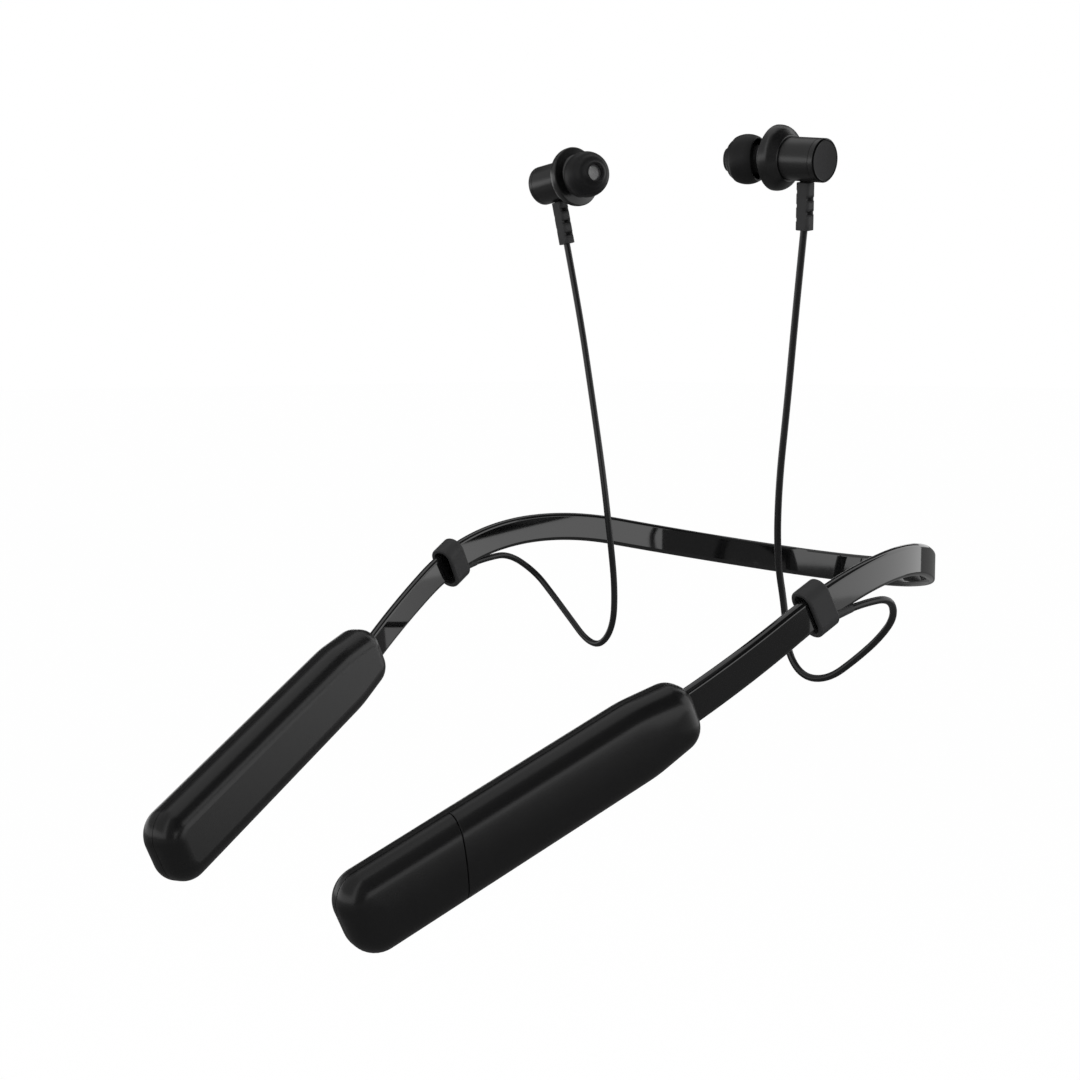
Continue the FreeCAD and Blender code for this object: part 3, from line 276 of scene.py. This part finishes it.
# each moulded finish: name, colour, roughness, grain size, grain depth, roughness spread
BLACK = (0.004, 0.004, 0.0042)
FINISH = {
    "strap": moulded("gloss_black_strap", BLACK, 0.04, 0.004, 0.004, 0.02, ior=1.9),
    "pod": moulded("satin_black_pod", (0.007, 0.007, 0.0072), 0.26, 0.0003, 0.03),
    "button": moulded("satin_black_button", (0.008, 0.008, 0.008), 0.36, 0.0003, 0.05),
    "rubber": moulded("black_rubber", (0.028, 0.028, 0.029), 0.6, 0.0003, 0.08),
    "cord": moulded("cord_jacket", (0.01, 0.01, 0.0105), 0.22, 0.0005, 0.02),
    "silicone": moulded("ear_tip_silicone", (0.008, 0.008, 0.0085), 0.5, 0.0005, 0.02, ior=1.4),
    "bud_metal": moulded("satin_black_bud", BLACK, 0.3, 0.0003, 0.006, 0.03, ior=1.75),
    "nozzle_metal": moulded("grey_nozzle", (0.16, 0.16, 0.165), 0.35, 0.0002, 0.03, metallic=0.5),
    "mesh": woven_mesh("steel_gauze", (0.9, 0.9, 0.9), 0.22),
    "spring_steel": moulded("spring_steel", (0.5, 0.51, 0.53), 0.3, metallic=1.0),
    "wire": moulded("ribbon_wire", (0.5, 0.28, 0.08), 0.4),
    "anchor": moulded("grey_nylon", (0.14, 0.14, 0.15), 0.5, 0.0003, 0.08),
    "board": moulded("board_green", (0.02, 0.14, 0.06), 0.35, 0.0004),
    "steel": moulded("plated_steel", (0.6, 0.6, 0.61), 0.28, metallic=1.0),
    "chip": moulded("chip_epoxy", (0.02, 0.02, 0.02), 0.6, 0.0002, 0.08),
    "switch_metal": moulded("switch_shell", (0.65, 0.65, 0.66), 0.3, metallic=1.0),
    "light_pipe": moulded("frosted_light_pipe", (0.8, 0.85, 0.9), 0.45),
    "led": moulded("led_lens", (0.9, 0.88, 0.7), 0.2),
    "cell": moulded("cell_foil", (0.6, 0.61, 0.63), 0.35, 0.0008, 0.1, metallic=1.0),
    "foam": moulded("black_foam", (0.03, 0.03, 0.03), 0.95, 0.0004, 0.5),
    "magnet": moulded("nickel_plate", (0.55, 0.54, 0.52), 0.22, metallic=1.0),
    "film": moulded("amber_film", (0.6, 0.42, 0.18), 0.25),
}
SPUN = spun_metal("spun_black_cap", (0.014, 0.014, 0.0145), 0.15)

SLOT_OF = {entry["node"]: entry["material_slot"] for entry in frame["record"]["subparts"]}
for name, node in frame["nodes"].items():
    for place in node.material_slots:
        place.material = FINISH[SLOT_OF[name]]

# ---------------------------------------------------------------- frames and meshes

# closer than these, in metres, two points are one and a point is on a lathe's axis
WELD, ON_AXIS = 1e-7, 1e-6


def axis_frame(origin, forward, sideways):
    """Matrix with x forward, y sideways and z square to both, at an origin in metres."""
    x = Vector(forward).normalized()
    z = x.cross(Vector(sideways)).normalized()
    turn = Matrix((x, z.cross(x), z)).transposed().to_4x4()
    return Matrix.Translation(origin) @ turn


JOINTS = {joint["name"]: joint for joint in frame["joints"]}
MOUNTS = {mount["name"]: mount for mount in frame["record"]["mounts"]}


def bud_frame(side):
    """Bud's frame: x out to its cap and z up its strain relief."""
    cap = MOUNTS[side + "_cap_face"]
    out = Vector(cap["axis"])
    front = Vector(cap["pos_m"]) - out * BUD_LENGTH * MM
    return axis_frame(front, out, JOINTS[side + "_bud_flex"]["axis"])


def nozzle_frame(side):
    """Nozzle's frame: the bud's, turned about the pivot until x is the tip's pull axis."""
    bud = bud_frame(side)
    out = -Vector(JOINTS[side + "_tip_pull"]["axis"])
    pivot = bud @ Vector((NOZZLE_PIVOT * MM, 0, 0))
    return axis_frame(pivot - out * NOZZLE_PIVOT * MM, out, bud.to_3x3().col[1])


def corner_arcs(points, steps=6, closed=False):
    """Outline as plain points: each (a, b, round) corner becomes an arc of that radius."""
    made = []
    count = len(points)
    for i, point in enumerate(points):
        here = Vector(point[:2])
        size = point[2] if len(point) > 2 else 0.0
        if size == 0.0 or (not closed and i in (0, count - 1)):
            made.append(here)
            continue
        before = (Vector(points[i - 1][:2]) - here).normalized()
        after = (Vector(points[(i + 1) % count][:2]) - here).normalized()
        half = before.angle(after) / 2
        middle = here + (before + after).normalized() * size / math.sin(half)
        start, end = here + before * size / math.tan(half), here + after * size / math.tan(half)
        for step in range(steps + 1):
            spoke = (start - middle).lerp(end - middle, step / steps)
            made.append(middle + spoke.normalized() * size)
    return made


def skin(name, rings, finish, closed=False, caps=True):
    """Smooth mesh over rings of points; closed joins the last ring to the first."""
    mesh = bpy.data.meshes.new(name)
    work = bmesh.new()
    rows = [[work.verts.new(point) for point in ring] for ring in rings]
    pairs = list(zip(rows, rows[1:])) + ([(rows[-1], rows[0])] if closed else [])
    count = len(rows[0])
    for first, second in pairs:
        for i in range(count):
            j = (i + 1) % count
            work.faces.new((first[i], first[j], second[j], second[i]))
    if caps and not closed:
        work.faces.new(rows[0][::-1])
        work.faces.new(rows[-1])
    bmesh.ops.remove_doubles(work, verts=work.verts, dist=WELD)
    bmesh.ops.recalc_face_normals(work, faces=work.faces)
    for face in work.faces:
        face.smooth = True
    work.to_mesh(mesh)
    work.free()
    mesh.materials.append(finish)
    return mesh


def add_piece(name, mesh, body=None, stands_for=()):
    """Put a mesh in the scene as a piece of the part."""
    piece = bpy.data.objects.new(name, mesh)
    bpy.context.scene.collection.objects.link(piece)
    piece.modifiers.new("even_normals", "WEIGHTED_NORMAL")
    if body:
        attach(piece, body)
    if stands_for:
        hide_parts(*stands_for)
    return piece


def lathe(name, outline, place, finish, sides, closed=True):
    """Mesh turned about x from (x, radius) points in millimetres, with rings mapped along v."""
    turns = [math.tau * i / sides for i in range(sides)]
    rings = []
    for x, radius in outline:
        rings.append([place @ (Vector((x, radius * math.cos(a), radius * math.sin(a))) * MM)
                      for a in turns])
    mesh = skin(name, rings, finish, closed=closed, caps=False)
    inward = place.inverted()
    grid = mesh.uv_layers.new(name=LATHE_MAP)
    for face in mesh.polygons:
        spots = [inward @ mesh.vertices[v].co for v in face.vertices]
        middle = sum(spots, Vector()) / len(spots)
        base = math.atan2(middle.z, middle.y)
        for loop, spot in zip(face.loop_indices, spots):
            out = math.hypot(spot.y, spot.z)
            angle = math.atan2(spot.z, spot.y) if out > ON_AXIS else base
            near = angle + math.tau * round((base - angle) / math.tau)
            grid.data[loop].uv = (near / math.tau, out + abs(spot.x))
    return mesh


def rounded_box(half_wide, half_tall, size, steps=6):
    """Closed outline of a rectangle with round corners."""
    corners = [(half_wide, -half_tall, size), (half_wide, half_tall, size),
               (-half_wide, half_tall, size), (-half_wide, -half_tall, size)]
    return corner_arcs(corners, steps, closed=True)

# ---------------------------------------------------------------- strap

def plan_spot(angle, offset):
    """Place on the strap's plan, by the angle from straight back and the offset outwards."""
    turn = abs(angle)
    centre, start = Vector((0.0, STRAP_THICKNESS / 2 - PLAN_ARCS[0][0])), 0.0
    for (radius, span), following in zip(PLAN_ARCS, PLAN_ARCS[1:] + (None,)):
        end = start + math.radians(span)
        if turn <= end or following is None:
            break
        centre += Vector((math.sin(end), math.cos(end))) * (radius - following[0])
        start = end
    x = centre.x + (radius + offset) * math.sin(turn)
    y = centre.y + (radius + offset) * math.cos(turn)
    return math.copysign(x, angle), y


def side_level(y, offset):
    """Height of the strap at a place along y, for an offset above its middle line."""
    fall, drop = math.radians(NECK_FALL), math.radians(ARM_FALL)
    back = STRAP_THICKNESS / 2
    middle_y = back - NECK_RUN - ARCH_RADIUS * math.sin(fall)
    middle_z = NECK_RUN * math.tan(fall) - ARCH_RADIUS * math.cos(fall)
    reach = ARCH_RADIUS + offset
    if y > middle_y + reach * math.sin(fall):
        run = (back + offset * math.sin(fall) - y) / math.cos(fall)
        return offset * math.cos(fall) + run * math.sin(fall)
    foot_y = middle_y - reach * math.sin(drop)
    if y < foot_y:
        return middle_z + reach * math.cos(drop) - (foot_y - y) * math.tan(drop)
    return middle_z + math.sqrt(reach ** 2 - (y - middle_y) ** 2)


def strap():
    """The strap: one glossy bar bent round the neck, its long edges rounded."""
    section = rounded_box(STRAP_THICKNESS / 2, STRAP_HEIGHT / 2, STRAP_EDGE, steps=8)
    end = math.radians(sum(span for radius, span in PLAN_ARCS))
    rings = []
    for i in range(STRAP_STATIONS + 1):
        angle = end * (2 * i / STRAP_STATIONS - 1)
        ring = []
        for across, up in section:
            x, y = plan_spot(angle, across)
            ring.append(Vector((x, y, side_level(y, up))) * MM)
        rings.append(ring)
    mesh = skin("strap_bar", rings, FINISH["strap"])
    add_piece("glossy_strap", mesh, "neckband", ["neck_strap"])


strap()

# ---------------------------------------------------------------- keepers

def keeper(side):
    """Soft oval ring on the arm, with rounded ends."""
    low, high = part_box(side + "_cord_keeper")
    along = Vector(JOINTS[side + "_keeper_slide"]["axis"])
    place = axis_frame((low + high) / 2, along, Vector((0, 0, 1)).cross(along))
    half, inner_lip = KEEPER_LENGTH / 2, KEEPER_LIP / 2
    wall = corner_arcs([(-half, 0.0, KEEPER_LIP), (half, 0.0, KEEPER_LIP),
                        (half, KEEPER_WALL, inner_lip), (-half, KEEPER_WALL, inner_lip)],
                       steps=5, closed=True)
    rings = []
    for x, inset in wall:
        half_wide, half_tall = KEEPER_THICKNESS / 2 - inset, KEEPER_HEIGHT / 2 - inset
        round_size = KEEPER_THICKNESS / 2 - KEEPER_FLAT - inset
        oval = rounded_box(half_wide, half_tall, round_size, steps=16)
        rings.append([place @ (Vector((x, y, z)) * MM) for y, z in oval])
    mesh = skin(side + "_keeper_ring", rings, FINISH["rubber"], closed=True)
    add_piece(side + "_keeper_ring", mesh, side + "_keeper", [side + "_cord_keeper"])


for side in SIDES:
    keeper(side)

# ---------------------------------------------------------------- pods

def button_top(name, out):
    """Middle of a button's flat top."""
    spots = [vertex.co for vertex in frame["nodes"][name + "_button"].data.vertices]
    level = max(spot.dot(out) for spot in spots)
    top = [spot for spot in spots if spot.dot(out) > level - FLAT * MM]
    return sum(top, Vector()) / len(top)


def left_pod_frame():
    """Left pod's frame: the mirror image of the one that the right pod's buttons stand in."""
    out = -Vector(JOINTS["volume_up_press"]["axis"])
    rear, front = [button_top(name, out) for name in BUTTON_PLACES]
    along = (front - rear).normalized()
    origin = rear - (along * BUTTON_PLACES["volume_up"] + out * BUTTON_TOP) * MM
    flip = Vector((-1, 1, 1))
    return axis_frame(origin * flip, along * flip, out * flip)


def pod_outline(inset):
    """Pod's rounded outline in its own x and z, drawn in by an inset."""
    tall, low, front = POD_HALF_HEIGHT - inset, POD_REAR_HALF - inset, POD_LENGTH - inset
    upper = [(inset, low, POD_REAR_CORNER - inset), (POD_TAPER, tall, POD_SHOULDER - inset),
             (front, tall, POD_FRONT_CORNER - inset)]
    lower = [(x, -z, size) for x, z, size in reversed(upper)]
    return corner_arcs(upper + lower, steps=12, closed=True)


def pod_skin(place):
    """Rings of a cover's outside: a straight rim, a round edge and a lightly crowned panel."""
    lean = math.radians(POD_LEAN)
    rim_level = POD_HALF_THICKNESS - POD_CROWN - POD_EDGE * math.cos(lean)
    rings = [(pod_outline(0.0), POD_PARTING)]
    for i in range(POD_EDGE_STEPS + 1):
        tilt = math.pi / 2 + (lean - math.pi / 2) * i / POD_EDGE_STEPS
        inset = POD_EDGE * (1 - math.sin(tilt))
        rings.append((pod_outline(inset), rim_level + POD_EDGE * math.cos(tilt)))
    edge = rings[-1][0]
    half = POD_HALF_HEIGHT - POD_EDGE * (1 - math.sin(lean))
    spine = (half + POD_SPINE_SETBACK, POD_LENGTH - POD_HALF_HEIGHT)
    for i in range(1, POD_PANEL_RINGS + 1):
        share = 1 - i / POD_PANEL_RINGS
        ring = []
        for spot in edge:
            near = Vector((min(max(spot.x, spine[0]), spine[1]), 0.0))
            ring.append(near + (spot - near) * share)
        rings.append((ring, POD_HALF_THICKNESS - POD_CROWN * share ** 2))
    return [[place @ (Vector((x, y, z)) * MM) for x, z in ring] for ring, y in rings]


def pod_covers():
    """Left pod's outer cover and end cover, parted by a leaning seam."""
    place = left_pod_frame()
    lean = math.radians(SEAM_LEAN)
    across = Vector((math.cos(lean), 0, math.sin(lean)))
    for name, stands_for, sign in (("left_rear_cover", "left_pod_outer_cover", -1),
                                   ("left_front_cover", "left_pod_end_cover", 1)):
        mesh = skin(name, pod_skin(place), FINISH["pod"], caps=False)
        work = bmesh.new()
        work.from_mesh(mesh)
        cut = Vector((SEAM_PLACE, 0, POD_HALF_HEIGHT)) + across * sign * SEAM_WIDTH / 2
        bmesh.ops.bisect_plane(work, geom=work.verts[:] + work.edges[:] + work.faces[:],
                               plane_co=place @ (cut * MM), plane_no=place.to_3x3() @ across,
                               clear_outer=sign < 0, clear_inner=sign > 0)
        work.to_mesh(mesh)
        work.free()
        cover = add_piece(name, mesh, "neckband", [stands_for])
        wall = cover.modifiers.new("wall", "SOLIDIFY")
        wall.thickness, wall.offset = POD_WALL * MM, -1.0
        rim = cover.modifiers.new("rim", "BEVEL")
        rim.width, rim.segments, rim.limit_method = COVER_BEVEL * MM, 2, "ANGLE"
        rim.angle_limit = math.radians(COVER_BEVEL_ANGLE)
        cover.modifiers.move(0, len(cover.modifiers) - 1)


pod_covers()

# ---------------------------------------------------------------- buds

def bud(side):
    """Flange, barrel and cap, turned on one axis."""
    place, body, tag = bud_frame(side), side + "_bud", side + "_"
    flange = corner_arcs([
        (-NOSE_DEPTH, NOZZLE_RADIUS), (-NOSE_DEPTH, NOSE_RADIUS, NOSE_ROUND),
        (-CREASE_DEPTH, CREASE_RADIUS, CREASE_ROUND), (0, RIM_RADIUS - RIM_BEVEL, RIM_EDGE),
        (RIM_BEVEL, RIM_RADIUS, RIM_EDGE), (RIM_BAND, RIM_RADIUS, RIM_ROUND),
        (BELL_LENGTH, BELL_END_RADIUS, BELL_END_ROUND), (BELL_LENGTH, INNER_RADIUS),
        (0, INNER_RADIUS), (0, NOZZLE_RADIUS)], steps=8)
    mesh = lathe(tag + "flange", flange, place, FINISH["bud_metal"], BUD_SIDES)
    add_piece(tag + "flange", mesh, body, [tag + "bud_front_housing"])
    groove = BARREL_RADIUS - SEAM_DEPTH
    barrel = corner_arcs([
        (BELL_LENGTH, INNER_RADIUS), (BELL_LENGTH, BARREL_RADIUS),
        (BARREL_END - SEAM, BARREL_RADIUS, SEAM_EDGE), (BARREL_END - SEAM, groove),
        (BARREL_END, groove), (BARREL_END, INNER_RADIUS)])
    mesh = lathe(tag + "barrel", barrel, place, FINISH["bud_metal"], BUD_SIDES)
    add_piece(tag + "barrel", mesh, body, [tag + "bud_barrel"])
    edge = BARREL_RADIUS - CAP_CHAMFER
    cap = corner_arcs([
        (BARREL_END, INNER_RADIUS), (BARREL_END, BARREL_RADIUS, SEAM_EDGE),
        (BUD_LENGTH - CAP_CHAMFER, BARREL_RADIUS, CAP_SHOULDER_ROUND),
        (BUD_LENGTH, edge, CAP_RIM_ROUND), (BUD_LENGTH, edge - CAP_RIM, CAP_RECESS_ROUND),
        (BUD_LENGTH - CAP_RECESS, edge - CAP_RIM - CAP_RECESS, CAP_RECESS_ROUND),
        (BUD_LENGTH - CAP_RECESS, 0.0)], steps=5)
    mesh = lathe(tag + "cap", cap, place, FINISH["bud_metal"], BUD_SIDES, closed=False)
    mesh.materials.append(SPUN)
    inward = place.inverted()
    for face in mesh.polygons:
        if (inward @ face.center).x > (BUD_LENGTH - CAP_CHAMFER / 2) * MM:
            face.material_index = 1
    add_piece(tag + "cap", mesh, body, [tag + "bud_back_cap"])


def tip_arc(start, stop, steps, radius_at):
    """Points (x, radius) round the tip's middle, each as far out as radius_at says."""
    spots = []
    for i in range(steps + 1):
        angle = start + (stop - start) * i / steps
        radius = radius_at(angle)
        spots.append(Vector((-TIP_CENTRE - radius * math.sin(angle), radius * math.cos(angle))))
    return spots


def ledged_radius(angle):
    """Radius of the dome's outside, which sinks a little at each ledge."""
    turned = math.degrees(angle)
    sunk = sum(min(max((turned - ledge) / TIP_LEDGE_SPREAD, 0.0), 1.0) for ledge in TIP_LEDGES)
    return TIP_RADIUS - TIP_LEDGE_DEPTH * sunk


def ear_tip(side):
    """Silicone mushroom: a skirt, a stem on the nozzle and two soft ledges round the mouth."""
    start = -math.asin(TIP_BACK / TIP_RADIUS)
    stop = math.acos(TIP_MOUTH * TIP_FLARE / TIP_RADIUS)
    dome = tip_arc(start, stop, TIP_STEPS, ledged_radius)
    hollow = tip_arc(start, math.radians(TIP_HOLLOW), TIP_STEPS // 2,
                     lambda angle: TIP_RADIUS - TIP_SKIRT)
    ledge_x, ledge_r = dome[-1]
    mouth_x = -(TIP_CENTRE + TIP_RADIUS - TIP_LIP)
    seat_x = -NOZZLE_FRONT - TIP_SEAT
    outline = corner_arcs([
        (-TIP_STEM_END, NOZZLE_RADIUS + TIP_STEM_GAP), (-TIP_STEM_END, TIP_STEM, TIP_STEM_ROUND),
        (hollow[-1].x + TIP_ROOT, TIP_STEM, TIP_ROOT)], steps=4)
    outline += reversed(hollow)
    outline += dome
    outline += corner_arcs([
        (ledge_x, ledge_r), (ledge_x - TIP_LIP_STEP, ledge_r - TIP_LIP_STEP, TIP_SMALL_ROUND),
        (mouth_x, TIP_MOUTH + TIP_LIP, TIP_LIP_ROUND), (mouth_x, TIP_MOUTH, TIP_MOUTH_ROUND),
        (seat_x, TIP_MOUTH, TIP_SMALL_ROUND), (seat_x, NOZZLE_RADIUS)], steps=5)
    mesh = lathe(side + "_soft_tip", outline, nozzle_frame(side), FINISH["silicone"], TIP_SIDES)
    add_piece(side + "_soft_tip", mesh, side + "_tip", [side + "_ear_tip"])


def strain_relief(side):
    """Rubber sleeve under the barrel, slotted from alternate sides; the sleeve is left on no body and doesn't
    bend.
    """
    place, tag = bud_frame(side), side + "_"
    corners = rounded_box(RELIEF_WIDTH / 2, RELIEF_DEPTH / 2, RELIEF_ROUND)
    section = [first.lerp(second, i / RELIEF_SPLITS)
               for first, second in zip(corners, corners[1:] + corners[:1])
               for i in range(RELIEF_SPLITS)]
    foot, top = -RELIEF_REACH, -RELIEF_TOP

    def ring(z, scale=1.0, cut_side=0, depth=0.0):
        limit = RELIEF_WIDTH / 2 - depth
        spots = []
        for x, y in section:
            if cut_side and x * cut_side > limit:
                deeper = SLOT_POCKET if abs(y) < RELIEF_DEPTH * SLOT_POCKET_SHARE else 0.0
                x = cut_side * (limit - deeper)
            spots.append(place @ (Vector((RELIEF_PLACE + x * scale, y * scale, z)) * MM))
        return spots

    rings = [ring(foot + distance, scale) for distance, scale in RELIEF_FOOT_ENDS]
    for i in range(SLOTS):
        low = foot + SLOT_START + SLOT_PITCH * i
        cut_side = 1 if i % 2 else -1
        rings += [ring(low), ring(low, 1.0, cut_side, SLOT_DEPTH),
                  ring(low + SLOT_HEIGHT, 1.0, cut_side, SLOT_DEPTH), ring(low + SLOT_HEIGHT)]
    rings += [ring(top - distance, scale) for distance, scale in RELIEF_TOP_ENDS]
    neck = RELIEF_NECK / (RELIEF_WIDTH / 2)
    rings += [ring(top, neck), ring(top + RELIEF_NECK_REACH, neck)]
    mesh = skin(tag + "relief_sleeve", rings, FINISH["rubber"])
    piece = add_piece(tag + "relief_sleeve", mesh, stands_for=[tag + "strain_relief"])
    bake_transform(piece)


for side in SIDES:
    bud(side)
    ear_tip(side)
    strain_relief(side)

# ---------------------------------------------------------------- cords

def free_cord(side):
    """Cord from the strain relief down and up again to its outlet under the strap."""
    sign = SIDES[side]
    line = bpy.data.curves.new(side + "_free_cord", "CURVE")
    line.dimensions = "3D"
    spline = line.splines.new("NURBS")
    spline.points.add(len(CORD_POINTS) - 1)
    for point, (x, y, z) in zip(spline.points, CORD_POINTS):
        point.co = (sign * x * MM, y * MM, z * MM, 1.0)
    spline.order_u = 3
    spline.use_endpoint_u = True
    spline.resolution_u = CORD_STEPS
    line.bevel_depth = CORD_DIAMETER * MM / 2
    line.bevel_resolution = CORD_ROUND_STEPS
    line.use_fill_caps = True
    line.materials.append(FINISH["cord"])
    cord = bpy.data.objects.new(side + "_free_cord", line)
    bpy.context.scene.collection.objects.link(cord)
    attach(cord, "neckband")
    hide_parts(side + "_cord")
    x, y, z = CORD_POINTS[0]


for side in SIDES:
    free_cord(side)

# ---------------------------------------------------------------- studio

# floor and surround, in metres and as brightness
FLOOR_SIZE, FLOOR_PLACE, FLOOR_PAINT, FLOOR_ROUGHNESS = 30.0, (0, 0, -0.3), (0.9, 0.9, 0.9), 0.9
FLOOR_WHITE, FLOOR_SEEN = 1.04, 0.9
SURROUND_SEEN, SURROUND_LIGHT = 1.0, 0.6

# cards that only reflections see: name, bearings from +X towards +Y, heights above the
# horizon, and brightness
FLAG_CENTRE, FLAG_STEP, FLAG_REACH, FLAG_DEPTH = Vector((0.0, -0.1, 0.0)), 8.0, 1.5, 0.18
FLAGS = (
    ("table_flag", (0, 360), (-89, -22), 0.12), ("table_middle", (0, 360), (-22, -13), 0.2),
    ("table_edge", (80, 394), (-13, -7), 0.12), ("table_edge_aside", (34, 80), (-13, -7), 0.55),
    ("back_flag", (92, 147), (-7, 1), 0.15), ("back_upper_flag", (100, 186), (11, 44), 0.06),
    ("left_upper_flag", (186, 285), (12, 72), 0.35), ("camera_flag", (-61, -18), (-7, 72), 0.1),
    ("side_upper_flag", (-18, 28), (12, 72), 0.02), ("side_top_flag", (28, 80), (32, 72), 0.05),
    ("ceiling", (0, 360), (72, 89), 0.55), ("ceiling_behind", (88, 186), (44, 72), 0.55),
)

# lamps: name, place, side of the square in metres, watts
LAMP_AIM = (0, -0.1, 0.03)
LAMPS = (("key_light", (0.1, -1.1, 1.3), 0.9, 5.0), ("fill_light", (1.2, -0.2, 0.5), 0.8, 2.0))

# camera: millimetres for the lens and sensor, metres and degrees for its place and turn
LENS, SENSOR = 62.73, 36.0
CAMERA_PLACE, CAMERA_TURN = (0.3240, -0.4336, 0.0627), (84.19, 0.0, 46.41)


def seen_level(tree, seen, unseen):
    """Strength for what the eye, a mirror or glass sees, and another for the light it gives."""
    path = tree.nodes.new("ShaderNodeLightPath").outputs
    mirrored = math_node(tree, "MAXIMUM", path["Is Glossy Ray"], path["Is Transmission Ray"])
    looked_at = math_node(tree, "MAXIMUM", path["Is Camera Ray"], mirrored)
    return math_node(tree, "MULTIPLY_ADD", looked_at, seen - unseen, unseen)


def backdrop():
    """Wide white floor well below the part, which is held up as if worn."""
    made, tree, shader = fresh_material("white_floor", FLOOR_PAINT, FLOOR_ROUGHNESS)
    white = tree.nodes.new("ShaderNodeEmission")
    white.inputs["Strength"].default_value = FLOOR_WHITE
    mix = tree.nodes.new("ShaderNodeMixShader")
    tree.links.new(seen_level(tree, FLOOR_SEEN, 0.0), mix.inputs["Fac"])
    tree.links.new(shader.outputs[0], mix.inputs[1])
    tree.links.new(white.outputs[0], mix.inputs[2])
    tree.links.new(mix.outputs[0], tree.nodes["Material Output"].inputs["Surface"])
    bpy.ops.mesh.primitive_plane_add(size=FLOOR_SIZE, location=FLOOR_PLACE)
    floor = bpy.context.object
    floor.name = "studio_floor"
    floor.data.materials.append(made)


def steps_between(first, last, step):
    """Even steps from first to last, none longer than step."""
    count = max(1, math.ceil(abs(last - first) / step))
    return [first + (last - first) * i / count for i in range(count + 1)]


def flag(name, bearings, heights, level):
    """Curved card round the part, seen only in reflections, that shapes the black surfaces.

    Below the horizon it comes closer, so that it stays above the floor.
    """
    made, tree, shader = fresh_material(name, (0.0, 0.0, 0.0), 1.0)
    shader.inputs["Emission Color"].default_value = (1.0, 1.0, 1.0, 1.0)
    shader.inputs["Emission Strength"].default_value = level
    shader.inputs["Specular IOR Level"].default_value = 0.0
    work = bmesh.new()
    rows = []
    for height in steps_between(*heights, FLAG_STEP):
        rise = math.radians(height)
        run = math.cos(rise)
        row = []
        for bearing in steps_between(*bearings, FLAG_STEP):
            turn = math.radians(bearing)
            way = Vector((math.cos(turn) * run, math.sin(turn) * run, math.sin(rise)))
            span = min(FLAG_REACH, FLAG_DEPTH / -way.z) if way.z < 0 else FLAG_REACH
            row.append(work.verts.new(FLAG_CENTRE + way * span))
        rows.append(row)
    for low, high in zip(rows, rows[1:]):
        for i in range(len(low) - 1):
            work.faces.new((low[i], low[i + 1], high[i + 1], high[i]))
    mesh = bpy.data.meshes.new(name)
    work.to_mesh(mesh)
    work.free()
    mesh.materials.append(made)
    card = bpy.data.objects.new(name, mesh)
    bpy.context.scene.collection.objects.link(card)
    card.visible_camera = card.visible_diffuse = card.visible_shadow = False
    card.visible_transmission = False


def white_world():
    """Even white surround, softer as a light than as a background."""
    world = bpy.data.worlds.new("white_surround")
    bpy.context.scene.world = world
    world.use_nodes = True
    tree, sky = world.node_tree, world.node_tree.nodes["Background"]
    tree.links.new(seen_level(tree, SURROUND_SEEN, SURROUND_LIGHT), sky.inputs["Strength"])
    sky.inputs["Color"].default_value = (1.0, 1.0, 1.0, 1.0)


def soft_lamp(name, place, size, power):
    """Square soft box pointed at the part."""
    lamp = bpy.data.lights.new(name, "AREA")
    lamp.energy = power
    lamp.size = size
    holder = bpy.data.objects.new(name, lamp)
    holder.location = place
    holder.rotation_euler = (Vector(LAMP_AIM) - Vector(place)).to_track_quat("-Z", "Y").to_euler()
    holder.visible_glossy = False
    bpy.context.scene.collection.objects.link(holder)


def view_camera():
    """The scene's camera."""
    camera = bpy.data.cameras.new("camera")
    camera.lens = LENS
    camera.sensor_width = SENSOR
    holder = bpy.data.objects.new("camera", camera)
    holder.location = CAMERA_PLACE
    holder.rotation_euler = [math.radians(turn) for turn in CAMERA_TURN]
    bpy.context.scene.collection.objects.link(holder)
    bpy.context.scene.camera = holder


backdrop()
white_world()
for name, bearings, heights, level in FLAGS:
    flag(name, bearings, heights, level)
for name, place, size, power in LAMPS:
    soft_lamp(name, place, size, power)
view_camera()
bpy.context.scene.view_settings.view_transform = "Standard"
